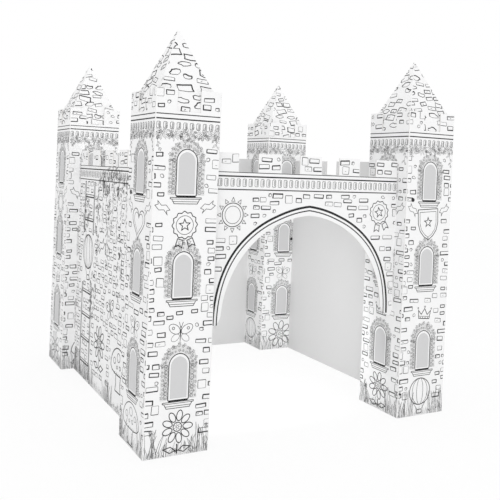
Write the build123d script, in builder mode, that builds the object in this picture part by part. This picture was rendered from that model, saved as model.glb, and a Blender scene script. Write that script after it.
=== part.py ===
from build123d import *
import math
import os

# A play castle of folded and cut card: four square towers at the corners of a
# square plan, a pyramid roof in the top of each, an arched wall at the front and
# three plain walls, held by tabs in slots and by push rivets.
# Millimetres, +Z up, origin on the floor at the centre of the plan, front at -Y.

# Sheet
BOARD = 3.0
FOLD_RADIUS = 2.0

# Plan
PLAN = 1100.0
TOWER = 200.0
WALL_SETBACK = 50.0

# Towers
TOWER_HEIGHT = 1024.0
TOWER_MERLON_HEIGHT = 62.0
TOWER_MERLON_WIDTH = 64.0
SEAM_FLAP_WIDTH = 50.0
SEAM_FLAP_FOOT_GAP = 10.0
SEAM_GROOVE_WIDTH = 0.5
SEAM_GROOVE_DEPTH = 1.2

# Roofs
ROOF_BASE_DROP = 30.0
ROOF_RISE = 212.0
ROOF_TIP = 3.0
ROOF_FIT = 0.3
SKIRT_DEPTH = 60.0
SKIRT_CORNER_GAP = 8.0
SKIRT_TAPER = 12.0

# Walls
WALL_HEIGHT = 857.0
WALL_MERLON_HEIGHT = 57.0
WALL_END_MERLON = 91.0
WALL_MERLON = 82.0
WALL_GAP_COUNT = 4

# Arch in the front wall
ARCH_SPRING = 352.0
ARCH_RADIUS = 319.0
ARCH_CENTRE_OFFSET = 18.0
ARCH_LEG_FOOT = 338.0
ARCH_LEG_CORNER = 40.0

# Tabs and slots
TAB_HEIGHT = 60.0
TAB_REACH = 25.0
TAB_HOOK = 12.0
TAB_CORNER = 5.0
SLOT_FIT = 0.3
SLOT_SLACK = 2.0
TAB_LOW = 120.0
TAB_MIDDLE = 400.0
TAB_HIGH = 680.0

# Push rivets
RIVET_HEAD_DIAMETER = 13.0
RIVET_HEAD_HEIGHT = 2.4
RIVET_HEAD_RIM = 0.8
RIVET_SHANK_DIAMETER = 6.0
RIVET_FOOT_DIAMETER = 11.0
RIVET_FOOT_HEIGHT = 1.5
RIVET_HOLE_FIT = 0.2
SEAM_RIVET_HEIGHT = 729.0
SIDE_RIVET_HEIGHT = 500.0
SIDE_RIVET_NEAR = 60.0
SIDE_RIVET_FAR = 140.0

# Derived sizes
half_plan = PLAN / 2
tower_inner = TOWER - 2 * BOARD
tower_centre = -half_plan + TOWER / 2
tower_face = -half_plan + TOWER
tower_inner_face = tower_face - BOARD
tower_gap_width = TOWER - 2 * TOWER_MERLON_WIDTH
tower_gap_floor = TOWER_HEIGHT - TOWER_MERLON_HEIGHT

roof_base = tower_inner - 2 * ROOF_FIT
roof_base_height = TOWER_HEIGHT - ROOF_BASE_DROP
skirt_foot = roof_base_height - SKIRT_DEPTH
roof_run = (roof_base - ROOF_TIP) / 2
roof_slant = math.hypot(roof_run, ROOF_RISE)
roof_wall_run = BOARD * roof_slant / ROOF_RISE
roof_wall_rise = BOARD * roof_slant / roof_run

wall_length = PLAN - 2 * TOWER
wall_outer = -half_plan + WALL_SETBACK
wall_inner = wall_outer + BOARD
wall_middle = wall_outer + BOARD / 2
wall_gap_floor = WALL_HEIGHT - WALL_MERLON_HEIGHT
wall_middle_merlons = WALL_GAP_COUNT - 1
wall_merlon_total = 2 * WALL_END_MERLON + wall_middle_merlons * WALL_MERLON
wall_gap = (wall_length - wall_merlon_total) / WALL_GAP_COUNT
wall_gap_pitch = WALL_MERLON + wall_gap

arch_half_width = ARCH_RADIUS - ARCH_CENTRE_OFFSET
arch_apex = ARCH_SPRING + math.sqrt(ARCH_RADIUS**2 - ARCH_CENTRE_OFFSET**2)
arch_apex_angle = math.acos(ARCH_CENTRE_OFFSET / ARCH_RADIUS)
arch_mid_x = ARCH_RADIUS * math.cos(arch_apex_angle / 2) - ARCH_CENTRE_OFFSET
arch_mid_z = ARCH_SPRING + ARCH_RADIUS * math.sin(arch_apex_angle / 2)
arch_cut_foot = min(ARCH_LEG_FOOT, ARCH_SPRING) - BOARD
leg_corner_top = ARCH_LEG_FOOT + ARCH_LEG_CORNER
leg_corner_top_x = math.sqrt(ARCH_RADIUS**2 - (leg_corner_top - ARCH_SPRING) ** 2) - ARCH_CENTRE_OFFSET
leg_corner_bend = ARCH_LEG_CORNER * (1 - math.sqrt(0.5))

slot_height = TAB_HEIGHT + TAB_HOOK + SLOT_SLACK
slot_width = BOARD + 2 * SLOT_FIT
hook_start = wall_length / 2 + BOARD + SLOT_FIT
tab_end = wall_length / 2 + BOARD + TAB_REACH

seam_rivet_y = tower_inner_face - SEAM_FLAP_WIDTH / 2
side_rivet_near = -half_plan + SIDE_RIVET_NEAR
side_rivet_far = -half_plan + SIDE_RIVET_FAR
rivet_hole_radius = RIVET_SHANK_DIAMETER / 2 + RIVET_HOLE_FIT

plane_side = Plane(origin=(0, 0, 0), x_dir=(0, 1, 0), z_dir=(1, 0, 0))
plane_front = Plane(origin=(0, 0, 0), x_dir=(1, 0, 0), z_dir=(0, -1, 0))


# Tower sheet, as it stands at the front left corner
with BuildPart() as tower_sheet:
    # The tube folded from one sheet
    with BuildSketch(Plane.XY):
        with Locations((tower_centre, tower_centre)):
            RectangleRounded(TOWER, TOWER, FOLD_RADIUS)
            Rectangle(tower_inner, tower_inner, mode=Mode.SUBTRACT)
    extrude(amount=TOWER_HEIGHT)
    # The seam flap, glued inside the -X face
    with BuildSketch(Plane.XY.offset(SEAM_FLAP_FOOT_GAP)):
        with Locations((-half_plan + 1.5 * BOARD, tower_inner_face - SEAM_FLAP_WIDTH / 2)):
            Rectangle(BOARD, SEAM_FLAP_WIDTH)
    extrude(amount=skirt_foot - SEAM_FLAP_FOOT_GAP)
    # The line of the seam beside the raw edge of the -X face
    with BuildSketch(Plane.XY):
        with Locations((-half_plan + BOARD + SEAM_GROOVE_WIDTH / 2, tower_face)):
            Rectangle(SEAM_GROOVE_WIDTH, 2 * SEAM_GROOVE_DEPTH)
    extrude(amount=TOWER_HEIGHT, mode=Mode.SUBTRACT)
    # The gaps between the corner merlons
    with BuildSketch(plane_front.offset(-tower_face - BOARD)):
        with Locations((tower_centre, tower_gap_floor + TOWER_MERLON_HEIGHT)):
            Rectangle(tower_gap_width, 2 * TOWER_MERLON_HEIGHT)
    extrude(amount=TOWER + 2 * BOARD, mode=Mode.SUBTRACT)
    with BuildSketch(plane_side.offset(-half_plan - BOARD)):
        with Locations((tower_centre, tower_gap_floor + TOWER_MERLON_HEIGHT)):
            Rectangle(tower_gap_width, 2 * TOWER_MERLON_HEIGHT)
    extrude(amount=TOWER + 2 * BOARD, mode=Mode.SUBTRACT)
    # Rivet holes in the seam, in the +X face and in the +Y face
    with BuildSketch(plane_side.offset(-half_plan - BOARD)):
        with Locations((seam_rivet_y, SEAM_RIVET_HEIGHT)):
            Circle(rivet_hole_radius)
    extrude(amount=4 * BOARD, mode=Mode.SUBTRACT)
    with BuildSketch(plane_side.offset(tower_inner_face - BOARD)):
        with Locations((side_rivet_far, SIDE_RIVET_HEIGHT)):
            Circle(rivet_hole_radius)
    extrude(amount=3 * BOARD, mode=Mode.SUBTRACT)
    with BuildSketch(plane_front.offset(-tower_face - BOARD)):
        with Locations((side_rivet_near, SIDE_RIVET_HEIGHT)):
            Circle(rivet_hole_radius)
    extrude(amount=3 * BOARD, mode=Mode.SUBTRACT)

# Slots for the two upper tabs of a wall, in the +X and in the +Y face
with BuildPart() as upper_slots_x:
    with BuildSketch(plane_side.offset(tower_inner_face - BOARD)):
        with Locations(
            (wall_middle, TAB_MIDDLE + slot_height / 2),
            (wall_middle, TAB_HIGH + slot_height / 2),
        ):
            Rectangle(slot_width, slot_height)
    extrude(amount=3 * BOARD)

with BuildPart() as upper_slots_y:
    with BuildSketch(plane_front.offset(-tower_face - BOARD)):
        with Locations(
            (wall_middle, TAB_MIDDLE + slot_height / 2),
            (wall_middle, TAB_HIGH + slot_height / 2),
        ):
            Rectangle(slot_width, slot_height)
    extrude(amount=3 * BOARD)

# Slots for the lowest tab of a wall that stands on the floor
with BuildPart() as low_slot_x:
    with BuildSketch(plane_side.offset(tower_inner_face - BOARD)):
        with Locations((wall_middle, TAB_LOW + slot_height / 2)):
            Rectangle(slot_width, slot_height)
    extrude(amount=3 * BOARD)

with BuildPart() as low_slot_y:
    with BuildSketch(plane_front.offset(-tower_face - BOARD)):
        with Locations((wall_middle, TAB_LOW + slot_height / 2)):
            Rectangle(slot_width, slot_height)
    extrude(amount=3 * BOARD)


# Four towers, each turned a quarter further round the plan
with BuildPart() as tower_front_left:
    add(tower_sheet.part)
    add(upper_slots_x.part, mode=Mode.SUBTRACT)
    add(upper_slots_y.part, mode=Mode.SUBTRACT)
    add(low_slot_y.part, mode=Mode.SUBTRACT)

with BuildPart() as tower_front_right:
    add(tower_sheet.part.rotate(Axis.Z, 90))
    add(upper_slots_x.part.rotate(Axis.Z, 90), mode=Mode.SUBTRACT)
    add(upper_slots_y.part.rotate(Axis.Z, 90), mode=Mode.SUBTRACT)
    add(low_slot_x.part.rotate(Axis.Z, 90), mode=Mode.SUBTRACT)

with BuildPart() as tower_back_right:
    add(tower_sheet.part.rotate(Axis.Z, 180))
    add(upper_slots_x.part.rotate(Axis.Z, 180), mode=Mode.SUBTRACT)
    add(upper_slots_y.part.rotate(Axis.Z, 180), mode=Mode.SUBTRACT)
    add(low_slot_x.part.rotate(Axis.Z, 180), mode=Mode.SUBTRACT)
    add(low_slot_y.part.rotate(Axis.Z, 180), mode=Mode.SUBTRACT)

with BuildPart() as tower_back_left:
    add(tower_sheet.part.rotate(Axis.Z, 270))
    add(upper_slots_x.part.rotate(Axis.Z, 270), mode=Mode.SUBTRACT)
    add(upper_slots_y.part.rotate(Axis.Z, 270), mode=Mode.SUBTRACT)
    add(low_slot_x.part.rotate(Axis.Z, 270), mode=Mode.SUBTRACT)
    add(low_slot_y.part.rotate(Axis.Z, 270), mode=Mode.SUBTRACT)


# Roof sheet: a hollow pyramid with four skirts that slip into the tower
with BuildPart() as roof_hollow:
    with BuildSketch(Plane.XY.offset(roof_base_height)):
        with Locations((tower_centre, tower_centre)):
            Rectangle(roof_base - 2 * roof_wall_run, roof_base - 2 * roof_wall_run)
    with BuildSketch(Plane.XY.offset(roof_base_height + ROOF_RISE - roof_wall_rise)):
        with Locations((tower_centre, tower_centre)):
            Rectangle(ROOF_TIP, ROOF_TIP)
    loft()

with BuildPart() as roof_front_left:
    with BuildSketch(Plane.XY.offset(roof_base_height)):
        with Locations((tower_centre, tower_centre)):
            Rectangle(roof_base, roof_base)
    with BuildSketch(Plane.XY.offset(roof_base_height + ROOF_RISE)):
        with Locations((tower_centre, tower_centre)):
            Rectangle(ROOF_TIP, ROOF_TIP)
    loft()
    add(roof_hollow.part, mode=Mode.SUBTRACT)
    # Skirts on the front and back edges
    with BuildSketch(plane_front.offset(-tower_centre - roof_base / 2)) as skirt_front:
        with BuildLine():
            Polyline(
                (tower_centre - roof_base / 2 + SKIRT_CORNER_GAP, roof_base_height),
                (tower_centre + roof_base / 2 - SKIRT_CORNER_GAP, roof_base_height),
                (tower_centre + roof_base / 2 - SKIRT_CORNER_GAP - SKIRT_TAPER, skirt_foot),
                (tower_centre - roof_base / 2 + SKIRT_CORNER_GAP + SKIRT_TAPER, skirt_foot),
                close=True,
            )
        make_face()
    extrude(amount=BOARD)
    with BuildSketch(plane_front.offset(-tower_centre + roof_base / 2 - BOARD)):
        add(skirt_front.sketch_local)
    extrude(amount=BOARD)
    # Skirts on the left and right edges
    with BuildSketch(plane_side.offset(tower_centre - roof_base / 2)):
        add(skirt_front.sketch_local)
    extrude(amount=BOARD)
    with BuildSketch(plane_side.offset(tower_centre + roof_base / 2 - BOARD)):
        add(skirt_front.sketch_local)
    extrude(amount=BOARD)

with BuildPart() as roof_front_right:
    add(roof_front_left.part.rotate(Axis.Z, 90))

with BuildPart() as roof_back_right:
    add(roof_front_left.part.rotate(Axis.Z, 180))

with BuildPart() as roof_back_left:
    add(roof_front_left.part.rotate(Axis.Z, 270))


# Tab with a hook that drops behind the slot, at the right end of a wall
with BuildSketch(plane_front.offset(-wall_inner)) as tab_outline:
    with BuildLine():
        Polyline(
            (wall_length / 2 - BOARD, 0),
            (hook_start, 0),
            (hook_start, -TAB_HOOK),
            (tab_end - TAB_CORNER, -TAB_HOOK),
            (tab_end, -TAB_HOOK + TAB_CORNER),
            (tab_end, TAB_HEIGHT - TAB_CORNER),
            (tab_end - TAB_CORNER, TAB_HEIGHT),
            (wall_length / 2 - BOARD, TAB_HEIGHT),
            close=True,
        )
    make_face()

with BuildPart() as tabs_upper:
    with BuildSketch(plane_front.offset(-wall_inner)):
        with Locations((0, TAB_MIDDLE), (0, TAB_HIGH)):
            add(tab_outline.sketch_local)
    extrude(amount=BOARD)
    mirror(about=Plane.YZ)

with BuildPart() as tabs_low:
    with BuildSketch(plane_front.offset(-wall_inner)):
        with Locations((0, TAB_LOW)):
            add(tab_outline.sketch_local)
    extrude(amount=BOARD)
    mirror(about=Plane.YZ)

# Gaps between the merlons along the top of a wall
with BuildPart() as wall_gaps:
    with BuildSketch(plane_front.offset(-wall_inner - BOARD)):
        with Locations((0, wall_gap_floor + WALL_MERLON_HEIGHT)):
            with GridLocations(wall_gap_pitch, 1, WALL_GAP_COUNT, 1):
                Rectangle(wall_gap, 2 * WALL_MERLON_HEIGHT)
    extrude(amount=3 * BOARD)


# Front wall, with the arch that one goes in by
with BuildPart() as wall_front_arch:
    with BuildSketch(plane_front.offset(-wall_inner)):
        with Locations((0, (ARCH_LEG_FOOT + WALL_HEIGHT) / 2)):
            Rectangle(wall_length, WALL_HEIGHT - ARCH_LEG_FOOT)
        with BuildLine():
            Line((-arch_half_width, arch_cut_foot), (arch_half_width, arch_cut_foot))
            Line((arch_half_width, arch_cut_foot), (arch_half_width, ARCH_SPRING))
            ThreePointArc((arch_half_width, ARCH_SPRING), (arch_mid_x, arch_mid_z), (0, arch_apex))
            ThreePointArc((0, arch_apex), (-arch_mid_x, arch_mid_z), (-arch_half_width, ARCH_SPRING))
            Line((-arch_half_width, ARCH_SPRING), (-arch_half_width, arch_cut_foot))
        make_face(mode=Mode.SUBTRACT)
    extrude(amount=BOARD)
    # Rounded inner corners of the legs
    for side in (-1, 1):
        with BuildSketch(plane_front.offset(-wall_inner - BOARD)):
            with BuildLine():
                top_x = side * leg_corner_top_x
                far_x = side * (arch_half_width + ARCH_LEG_CORNER)
                Line((top_x, ARCH_LEG_FOOT - BOARD), (far_x, ARCH_LEG_FOOT - BOARD))
                Line((far_x, ARCH_LEG_FOOT - BOARD), (far_x, ARCH_LEG_FOOT))
                ThreePointArc(
                    (far_x, ARCH_LEG_FOOT),
                    (side * (arch_half_width + leg_corner_bend), ARCH_LEG_FOOT + leg_corner_bend),
                    (top_x, leg_corner_top),
                )
                Line((top_x, leg_corner_top), (top_x, ARCH_LEG_FOOT - BOARD))
            make_face()
        extrude(amount=3 * BOARD, mode=Mode.SUBTRACT)
    add(tabs_upper.part)
    add(wall_gaps.part, mode=Mode.SUBTRACT)

# A plain wall, as it would stand at the front
with BuildPart() as wall_sheet:
    with BuildSketch(plane_front.offset(-wall_inner)):
        with Locations((0, WALL_HEIGHT / 2)):
            Rectangle(wall_length, WALL_HEIGHT)
    extrude(amount=BOARD)
    add(tabs_upper.part)
    add(tabs_low.part)
    add(wall_gaps.part, mode=Mode.SUBTRACT)

with BuildPart() as wall_right:
    add(wall_sheet.part.rotate(Axis.Z, 90))

with BuildPart() as wall_back:
    add(wall_sheet.part.rotate(Axis.Z, 180))

with BuildPart() as wall_left:
    add(wall_sheet.part.rotate(Axis.Z, 270))


# Push rivet through the two layers of a seam: head outside, foot inside
with BuildPart() as seam_rivet:
    with BuildSketch(plane_side.offset(-half_plan)):
        with Locations((seam_rivet_y, SEAM_RIVET_HEIGHT)):
            Circle(RIVET_SHANK_DIAMETER / 2)
    extrude(amount=2 * BOARD)
    with BuildSketch(plane_side.offset(-half_plan)):
        with Locations((seam_rivet_y, SEAM_RIVET_HEIGHT)):
            Circle(RIVET_HEAD_DIAMETER / 2)
    extrude(amount=-RIVET_HEAD_HEIGHT)
    fillet(
        faces().sort_by(Axis.X)[0].edges(),
        radius=RIVET_HEAD_HEIGHT - RIVET_HEAD_RIM,
    )
    with BuildSketch(plane_side.offset(-half_plan + 2 * BOARD)):
        with Locations((seam_rivet_y, SEAM_RIVET_HEIGHT)):
            Circle(RIVET_FOOT_DIAMETER / 2)
    extrude(amount=RIVET_FOOT_HEIGHT)

# Push rivets through the single layer of the two inward faces
with BuildPart() as side_rivet_x:
    with BuildSketch(plane_side.offset(tower_inner_face)):
        with Locations((side_rivet_far, SIDE_RIVET_HEIGHT)):
            Circle(RIVET_SHANK_DIAMETER / 2)
    extrude(amount=BOARD)
    with BuildSketch(plane_side.offset(tower_face)):
        with Locations((side_rivet_far, SIDE_RIVET_HEIGHT)):
            Circle(RIVET_HEAD_DIAMETER / 2)
    extrude(amount=RIVET_HEAD_HEIGHT)
    fillet(
        faces().sort_by(Axis.X)[-1].edges(),
        radius=RIVET_HEAD_HEIGHT - RIVET_HEAD_RIM,
    )
    with BuildSketch(plane_side.offset(tower_inner_face)):
        with Locations((side_rivet_far, SIDE_RIVET_HEIGHT)):
            Circle(RIVET_FOOT_DIAMETER / 2)
    extrude(amount=-RIVET_FOOT_HEIGHT)

with BuildPart() as side_rivet_y:
    with BuildSketch(plane_front.offset(-tower_inner_face)):
        with Locations((side_rivet_near, SIDE_RIVET_HEIGHT)):
            Circle(RIVET_SHANK_DIAMETER / 2)
    extrude(amount=-BOARD)
    with BuildSketch(plane_front.offset(-tower_face)):
        with Locations((side_rivet_near, SIDE_RIVET_HEIGHT)):
            Circle(RIVET_HEAD_DIAMETER / 2)
    extrude(amount=-RIVET_HEAD_HEIGHT)
    fillet(
        faces().sort_by(Axis.Y)[-1].edges(),
        radius=RIVET_HEAD_HEIGHT - RIVET_HEAD_RIM,
    )
    with BuildSketch(plane_front.offset(-tower_inner_face)):
        with Locations((side_rivet_near, SIDE_RIVET_HEIGHT)):
            Circle(RIVET_FOOT_DIAMETER / 2)
    extrude(amount=RIVET_FOOT_HEIGHT)

with BuildPart() as rivets_seam:
    for turn in (0, 90, 180, 270):
        add(seam_rivet.part.rotate(Axis.Z, turn))

with BuildPart() as rivets_side:
    for turn in (0, 90, 180, 270):
        add(side_rivet_x.part.rotate(Axis.Z, turn))
        add(side_rivet_y.part.rotate(Axis.Z, turn))


tower_front_left.part.label = "tower_front_left"
tower_front_right.part.label = "tower_front_right"
tower_back_right.part.label = "tower_back_right"
tower_back_left.part.label = "tower_back_left"
roof_front_left.part.label = "roof_front_left"
roof_front_right.part.label = "roof_front_right"
roof_back_right.part.label = "roof_back_right"
roof_back_left.part.label = "roof_back_left"
wall_front_arch.part.label = "wall_front_arch"
wall_right.part.label = "wall_right"
wall_back.part.label = "wall_back"
wall_left.part.label = "wall_left"
rivets_seam.part.label = "rivets_seam"
rivets_side.part.label = "rivets_side"

os.makedirs("parts", exist_ok=True)
export_step(tower_front_left.part, "parts/tower_front_left.step")
export_step(tower_front_right.part, "parts/tower_front_right.step")
export_step(tower_back_right.part, "parts/tower_back_right.step")
export_step(tower_back_left.part, "parts/tower_back_left.step")
export_step(roof_front_left.part, "parts/roof_front_left.step")
export_step(roof_front_right.part, "parts/roof_front_right.step")
export_step(roof_back_right.part, "parts/roof_back_right.step")
export_step(roof_back_left.part, "parts/roof_back_left.step")
export_step(wall_front_arch.part, "parts/wall_front_arch.step")
export_step(wall_right.part, "parts/wall_right.step")
export_step(wall_back.part, "parts/wall_back.step")
export_step(wall_left.part, "parts/wall_left.step")
export_step(rivets_seam.part, "parts/rivets_seam.step")
export_step(rivets_side.part, "parts/rivets_side.step")
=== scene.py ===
"""Finish of a children's play castle folded from white card, with a black line print.

The solids of the frame are the castle's own sheets and rivets. They keep their shape and get
their finishes here. The print is drawn on top: flat marks a fraction of a millimetre proud of
the card. Metres, +Z up, the front at -Y.
"""

import logging
import math
import random
from dataclasses import dataclass, field
from enum import Enum

import bpy
import numpy as np
from mathutils import Matrix, Vector


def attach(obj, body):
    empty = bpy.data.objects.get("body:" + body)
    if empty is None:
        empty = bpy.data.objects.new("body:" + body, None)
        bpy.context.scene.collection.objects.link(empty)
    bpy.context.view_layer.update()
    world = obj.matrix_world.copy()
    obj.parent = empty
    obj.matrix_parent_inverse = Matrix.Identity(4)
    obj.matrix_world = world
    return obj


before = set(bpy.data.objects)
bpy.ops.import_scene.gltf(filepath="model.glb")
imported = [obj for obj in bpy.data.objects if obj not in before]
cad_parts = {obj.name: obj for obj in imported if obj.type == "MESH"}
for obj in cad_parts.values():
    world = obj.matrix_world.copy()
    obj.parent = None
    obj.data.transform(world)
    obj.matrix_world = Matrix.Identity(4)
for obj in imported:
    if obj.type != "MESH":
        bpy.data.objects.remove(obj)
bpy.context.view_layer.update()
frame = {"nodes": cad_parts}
LOG = logging.getLogger("castle")

Point = tuple[float, float]
Span = tuple[float, float]
Place = tuple[float, float, float]
Colour = tuple[float, float, float]
Outline = list[Point]
Socket = bpy.types.NodeSocket

ORIGIN: Point = (0.0, 0.0)
UP = Vector((0, 0, 1))
PEN = 0.0023


class Turn(Enum):
    """The four sides of the square plan, as quarter turns from the front."""

    FRONT = 0
    RIGHT = 1
    BACK = 2
    LEFT = 3

    def outward(self) -> Vector:
        """The direction out of the castle on this side."""
        angle = self.value * math.pi / 2
        return Vector((round(math.sin(angle)), -round(math.cos(angle)), 0))

    def rightward(self) -> Vector:
        """The direction to the right for someone who faces this side from outside."""
        angle = self.value * math.pi / 2
        return Vector((round(math.cos(angle)), round(math.sin(angle)), 0))


@dataclass(frozen=True)
class Castle:
    """Sizes of the castle's sheets, as the frame holds them."""

    half_plan: float = 0.55
    tower: float = 0.2
    tower_height: float = 1.024
    tower_gap_floor: float = 0.962
    tower_merlon: float = 0.064
    roof_base: float = 0.1934
    roof_foot: float = 0.994
    roof_apex: float = 1.206
    roof_tip: float = 0.003
    wall_length: float = 0.7
    wall_setback: float = 0.05
    wall_gap_floor: float = 0.8
    wall_height: float = 0.857
    wall_end_merlon: float = 0.091
    wall_merlon: float = 0.082
    wall_gap: float = 0.068
    board: float = 0.003
    arch_spring: float = 0.352
    arch_offset: float = 0.018
    arch_leg_foot: float = 0.338

    def tower_centre(self, turn: Turn) -> Vector:
        """The centre of the tower at the left end of a side, on the floor."""
        reach = self.half_plan - self.tower / 2
        return turn.outward() * reach - turn.rightward() * reach

    def roof_slant(self) -> float:
        """The height of a roof's face, measured along its slope."""
        return math.hypot(self.roof_apex - self.roof_foot, self.roof_base / 2 - self.roof_tip / 2)


CASTLE = Castle()
TOWER_NAMES = {
    Turn.FRONT: "front_left",
    Turn.RIGHT: "front_right",
    Turn.BACK: "back_right",
    Turn.LEFT: "back_left",
}
WALL_NAMES = {
    Turn.FRONT: "wall_front_arch",
    Turn.RIGHT: "wall_right",
    Turn.BACK: "wall_back",
    Turn.LEFT: "wall_left",
}


# Finishes


class NodeTree:
    """Adds shader nodes to one tree and joins them."""

    colour_slots = (0, 6, 7)
    colour_result = 2

    def __init__(self, tree: bpy.types.NodeTree) -> None:
        """Takes the tree that the nodes go into."""
        self.tree = tree

    def add(self, kind: str, **settings: object) -> bpy.types.Node:
        """Adds a node.

        Args:
            kind: The node's type name.
            settings: Values for the node's own attributes.

        Returns:
            The new node.
        """
        node = self.tree.nodes.new(kind)
        for name, value in settings.items():
            setattr(node, name, value)
        return node

    def join(self, source: Socket, target: Socket) -> None:
        """Links an output socket to an input socket."""
        self.tree.links.new(source, target)

    def feed(self, slot: Socket, value: object) -> None:
        """Links an input to a socket, or sets it to a number or to a colour of three numbers.

        Args:
            slot: The input.
            value: A socket, a number or a colour.
        """
        if isinstance(value, bpy.types.NodeSocket):
            self.join(value, slot)
        else:
            slot.default_value = (*value, 1) if isinstance(value, tuple) else value

    def math(self, operation: str, *values: object) -> Socket:
        """Adds a math node.

        Args:
            operation: The math node's operation.
            values: Numbers or sockets, in the order of the node's inputs.

        Returns:
            The result's socket.
        """
        node = self.add("ShaderNodeMath", operation=operation)
        for slot, value in zip(node.inputs, values):
            self.feed(slot, value)
        return node.outputs[0]

    def sum_of(self, first: Socket, share: float, second: Socket, second_share: float) -> Socket:
        """Adds up two values, each times its share."""
        start = self.math("MULTIPLY", first, share)
        return self.math("ADD", start, self.math("MULTIPLY", second, second_share))

    def blend(self, factor: object, first: object, second: object) -> Socket:
        """Mixes two colours.

        Args:
            factor: Number or socket, 0 for the first colour and 1 for the second.
            first: Colour as three numbers, or a socket.
            second: Colour as three numbers, or a socket.

        Returns:
            The mixed colour's socket.
        """
        node = self.add("ShaderNodeMix", data_type="RGBA")
        for slot, value in zip(self.colour_slots, (factor, first, second)):
            self.feed(node.inputs[slot], value)
        return node.outputs[self.colour_result]

    def seen_directly(self) -> Socket:
        """A value of 1 for what the camera sees, also in gloss and through glass.

        Returns:
            The value's socket.
        """
        path = self.add("ShaderNodeLightPath")
        glossy = self.math("MAXIMUM", path.outputs["Is Camera Ray"], path.outputs["Is Glossy Ray"])
        return self.math("MAXIMUM", glossy, path.outputs["Is Transmission Ray"])


class MaterialTree(NodeTree):
    """The tree of a new material, with a plain shader joined to its output."""

    def __init__(self, name: str) -> None:
        """Starts the material.

        Args:
            name: The material's name.
        """
        self.material = bpy.data.materials.new(name)
        self.material.use_nodes = True
        super().__init__(self.material.node_tree)
        self.tree.nodes.clear()
        self.shader = self.add("ShaderNodeBsdfPrincipled")
        self.output = self.add("ShaderNodeOutputMaterial")
        self.join(self.shader.outputs["BSDF"], self.output.inputs["Surface"])
        self.coordinates = self.add("ShaderNodeTexCoord").outputs["Object"]

    def noise(self, scale: float, detail: float) -> Socket:
        """Adds a noise on Object coordinates and returns its value.

        Args:
            scale: The noise's scale.
            detail: Its detail.

        Returns:
            The value's socket.
        """
        node = self.add("ShaderNodeTexNoise")
        node.inputs["Scale"].default_value = scale
        node.inputs["Detail"].default_value = detail
        self.join(self.coordinates, node.inputs["Vector"])
        return node.outputs["Fac"]

    def dress(self, colour: Socket, roughness: float, specular: float = 0.5) -> None:
        """Gives the shader its surface.

        Args:
            colour: The colour's socket.
            roughness: The surface's roughness.
            specular: The level of its gloss.
        """
        self.join(colour, self.shader.inputs["Base Color"])
        self.shader.inputs["Roughness"].default_value = roughness
        self.shader.inputs["Specular IOR Level"].default_value = specular

    def bump(self, height: Socket, distance: float) -> None:
        """Lets a height ripple the shader's surface.

        Args:
            height: The height's socket.
            distance: How high the ripple is.
        """
        node = self.add("ShaderNodeBump")
        node.inputs["Distance"].default_value = distance
        self.join(height, node.inputs["Height"])
        self.join(node.outputs["Normal"], self.shader.inputs["Normal"])


class SheetKind(Enum):
    """How a board sheet is folded, which says where its two faces and its cut edges lie."""

    TOWER = "tower"
    ROOF = "roof"
    WALL_X = "wall across X"
    WALL_Y = "wall across Y"


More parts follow.
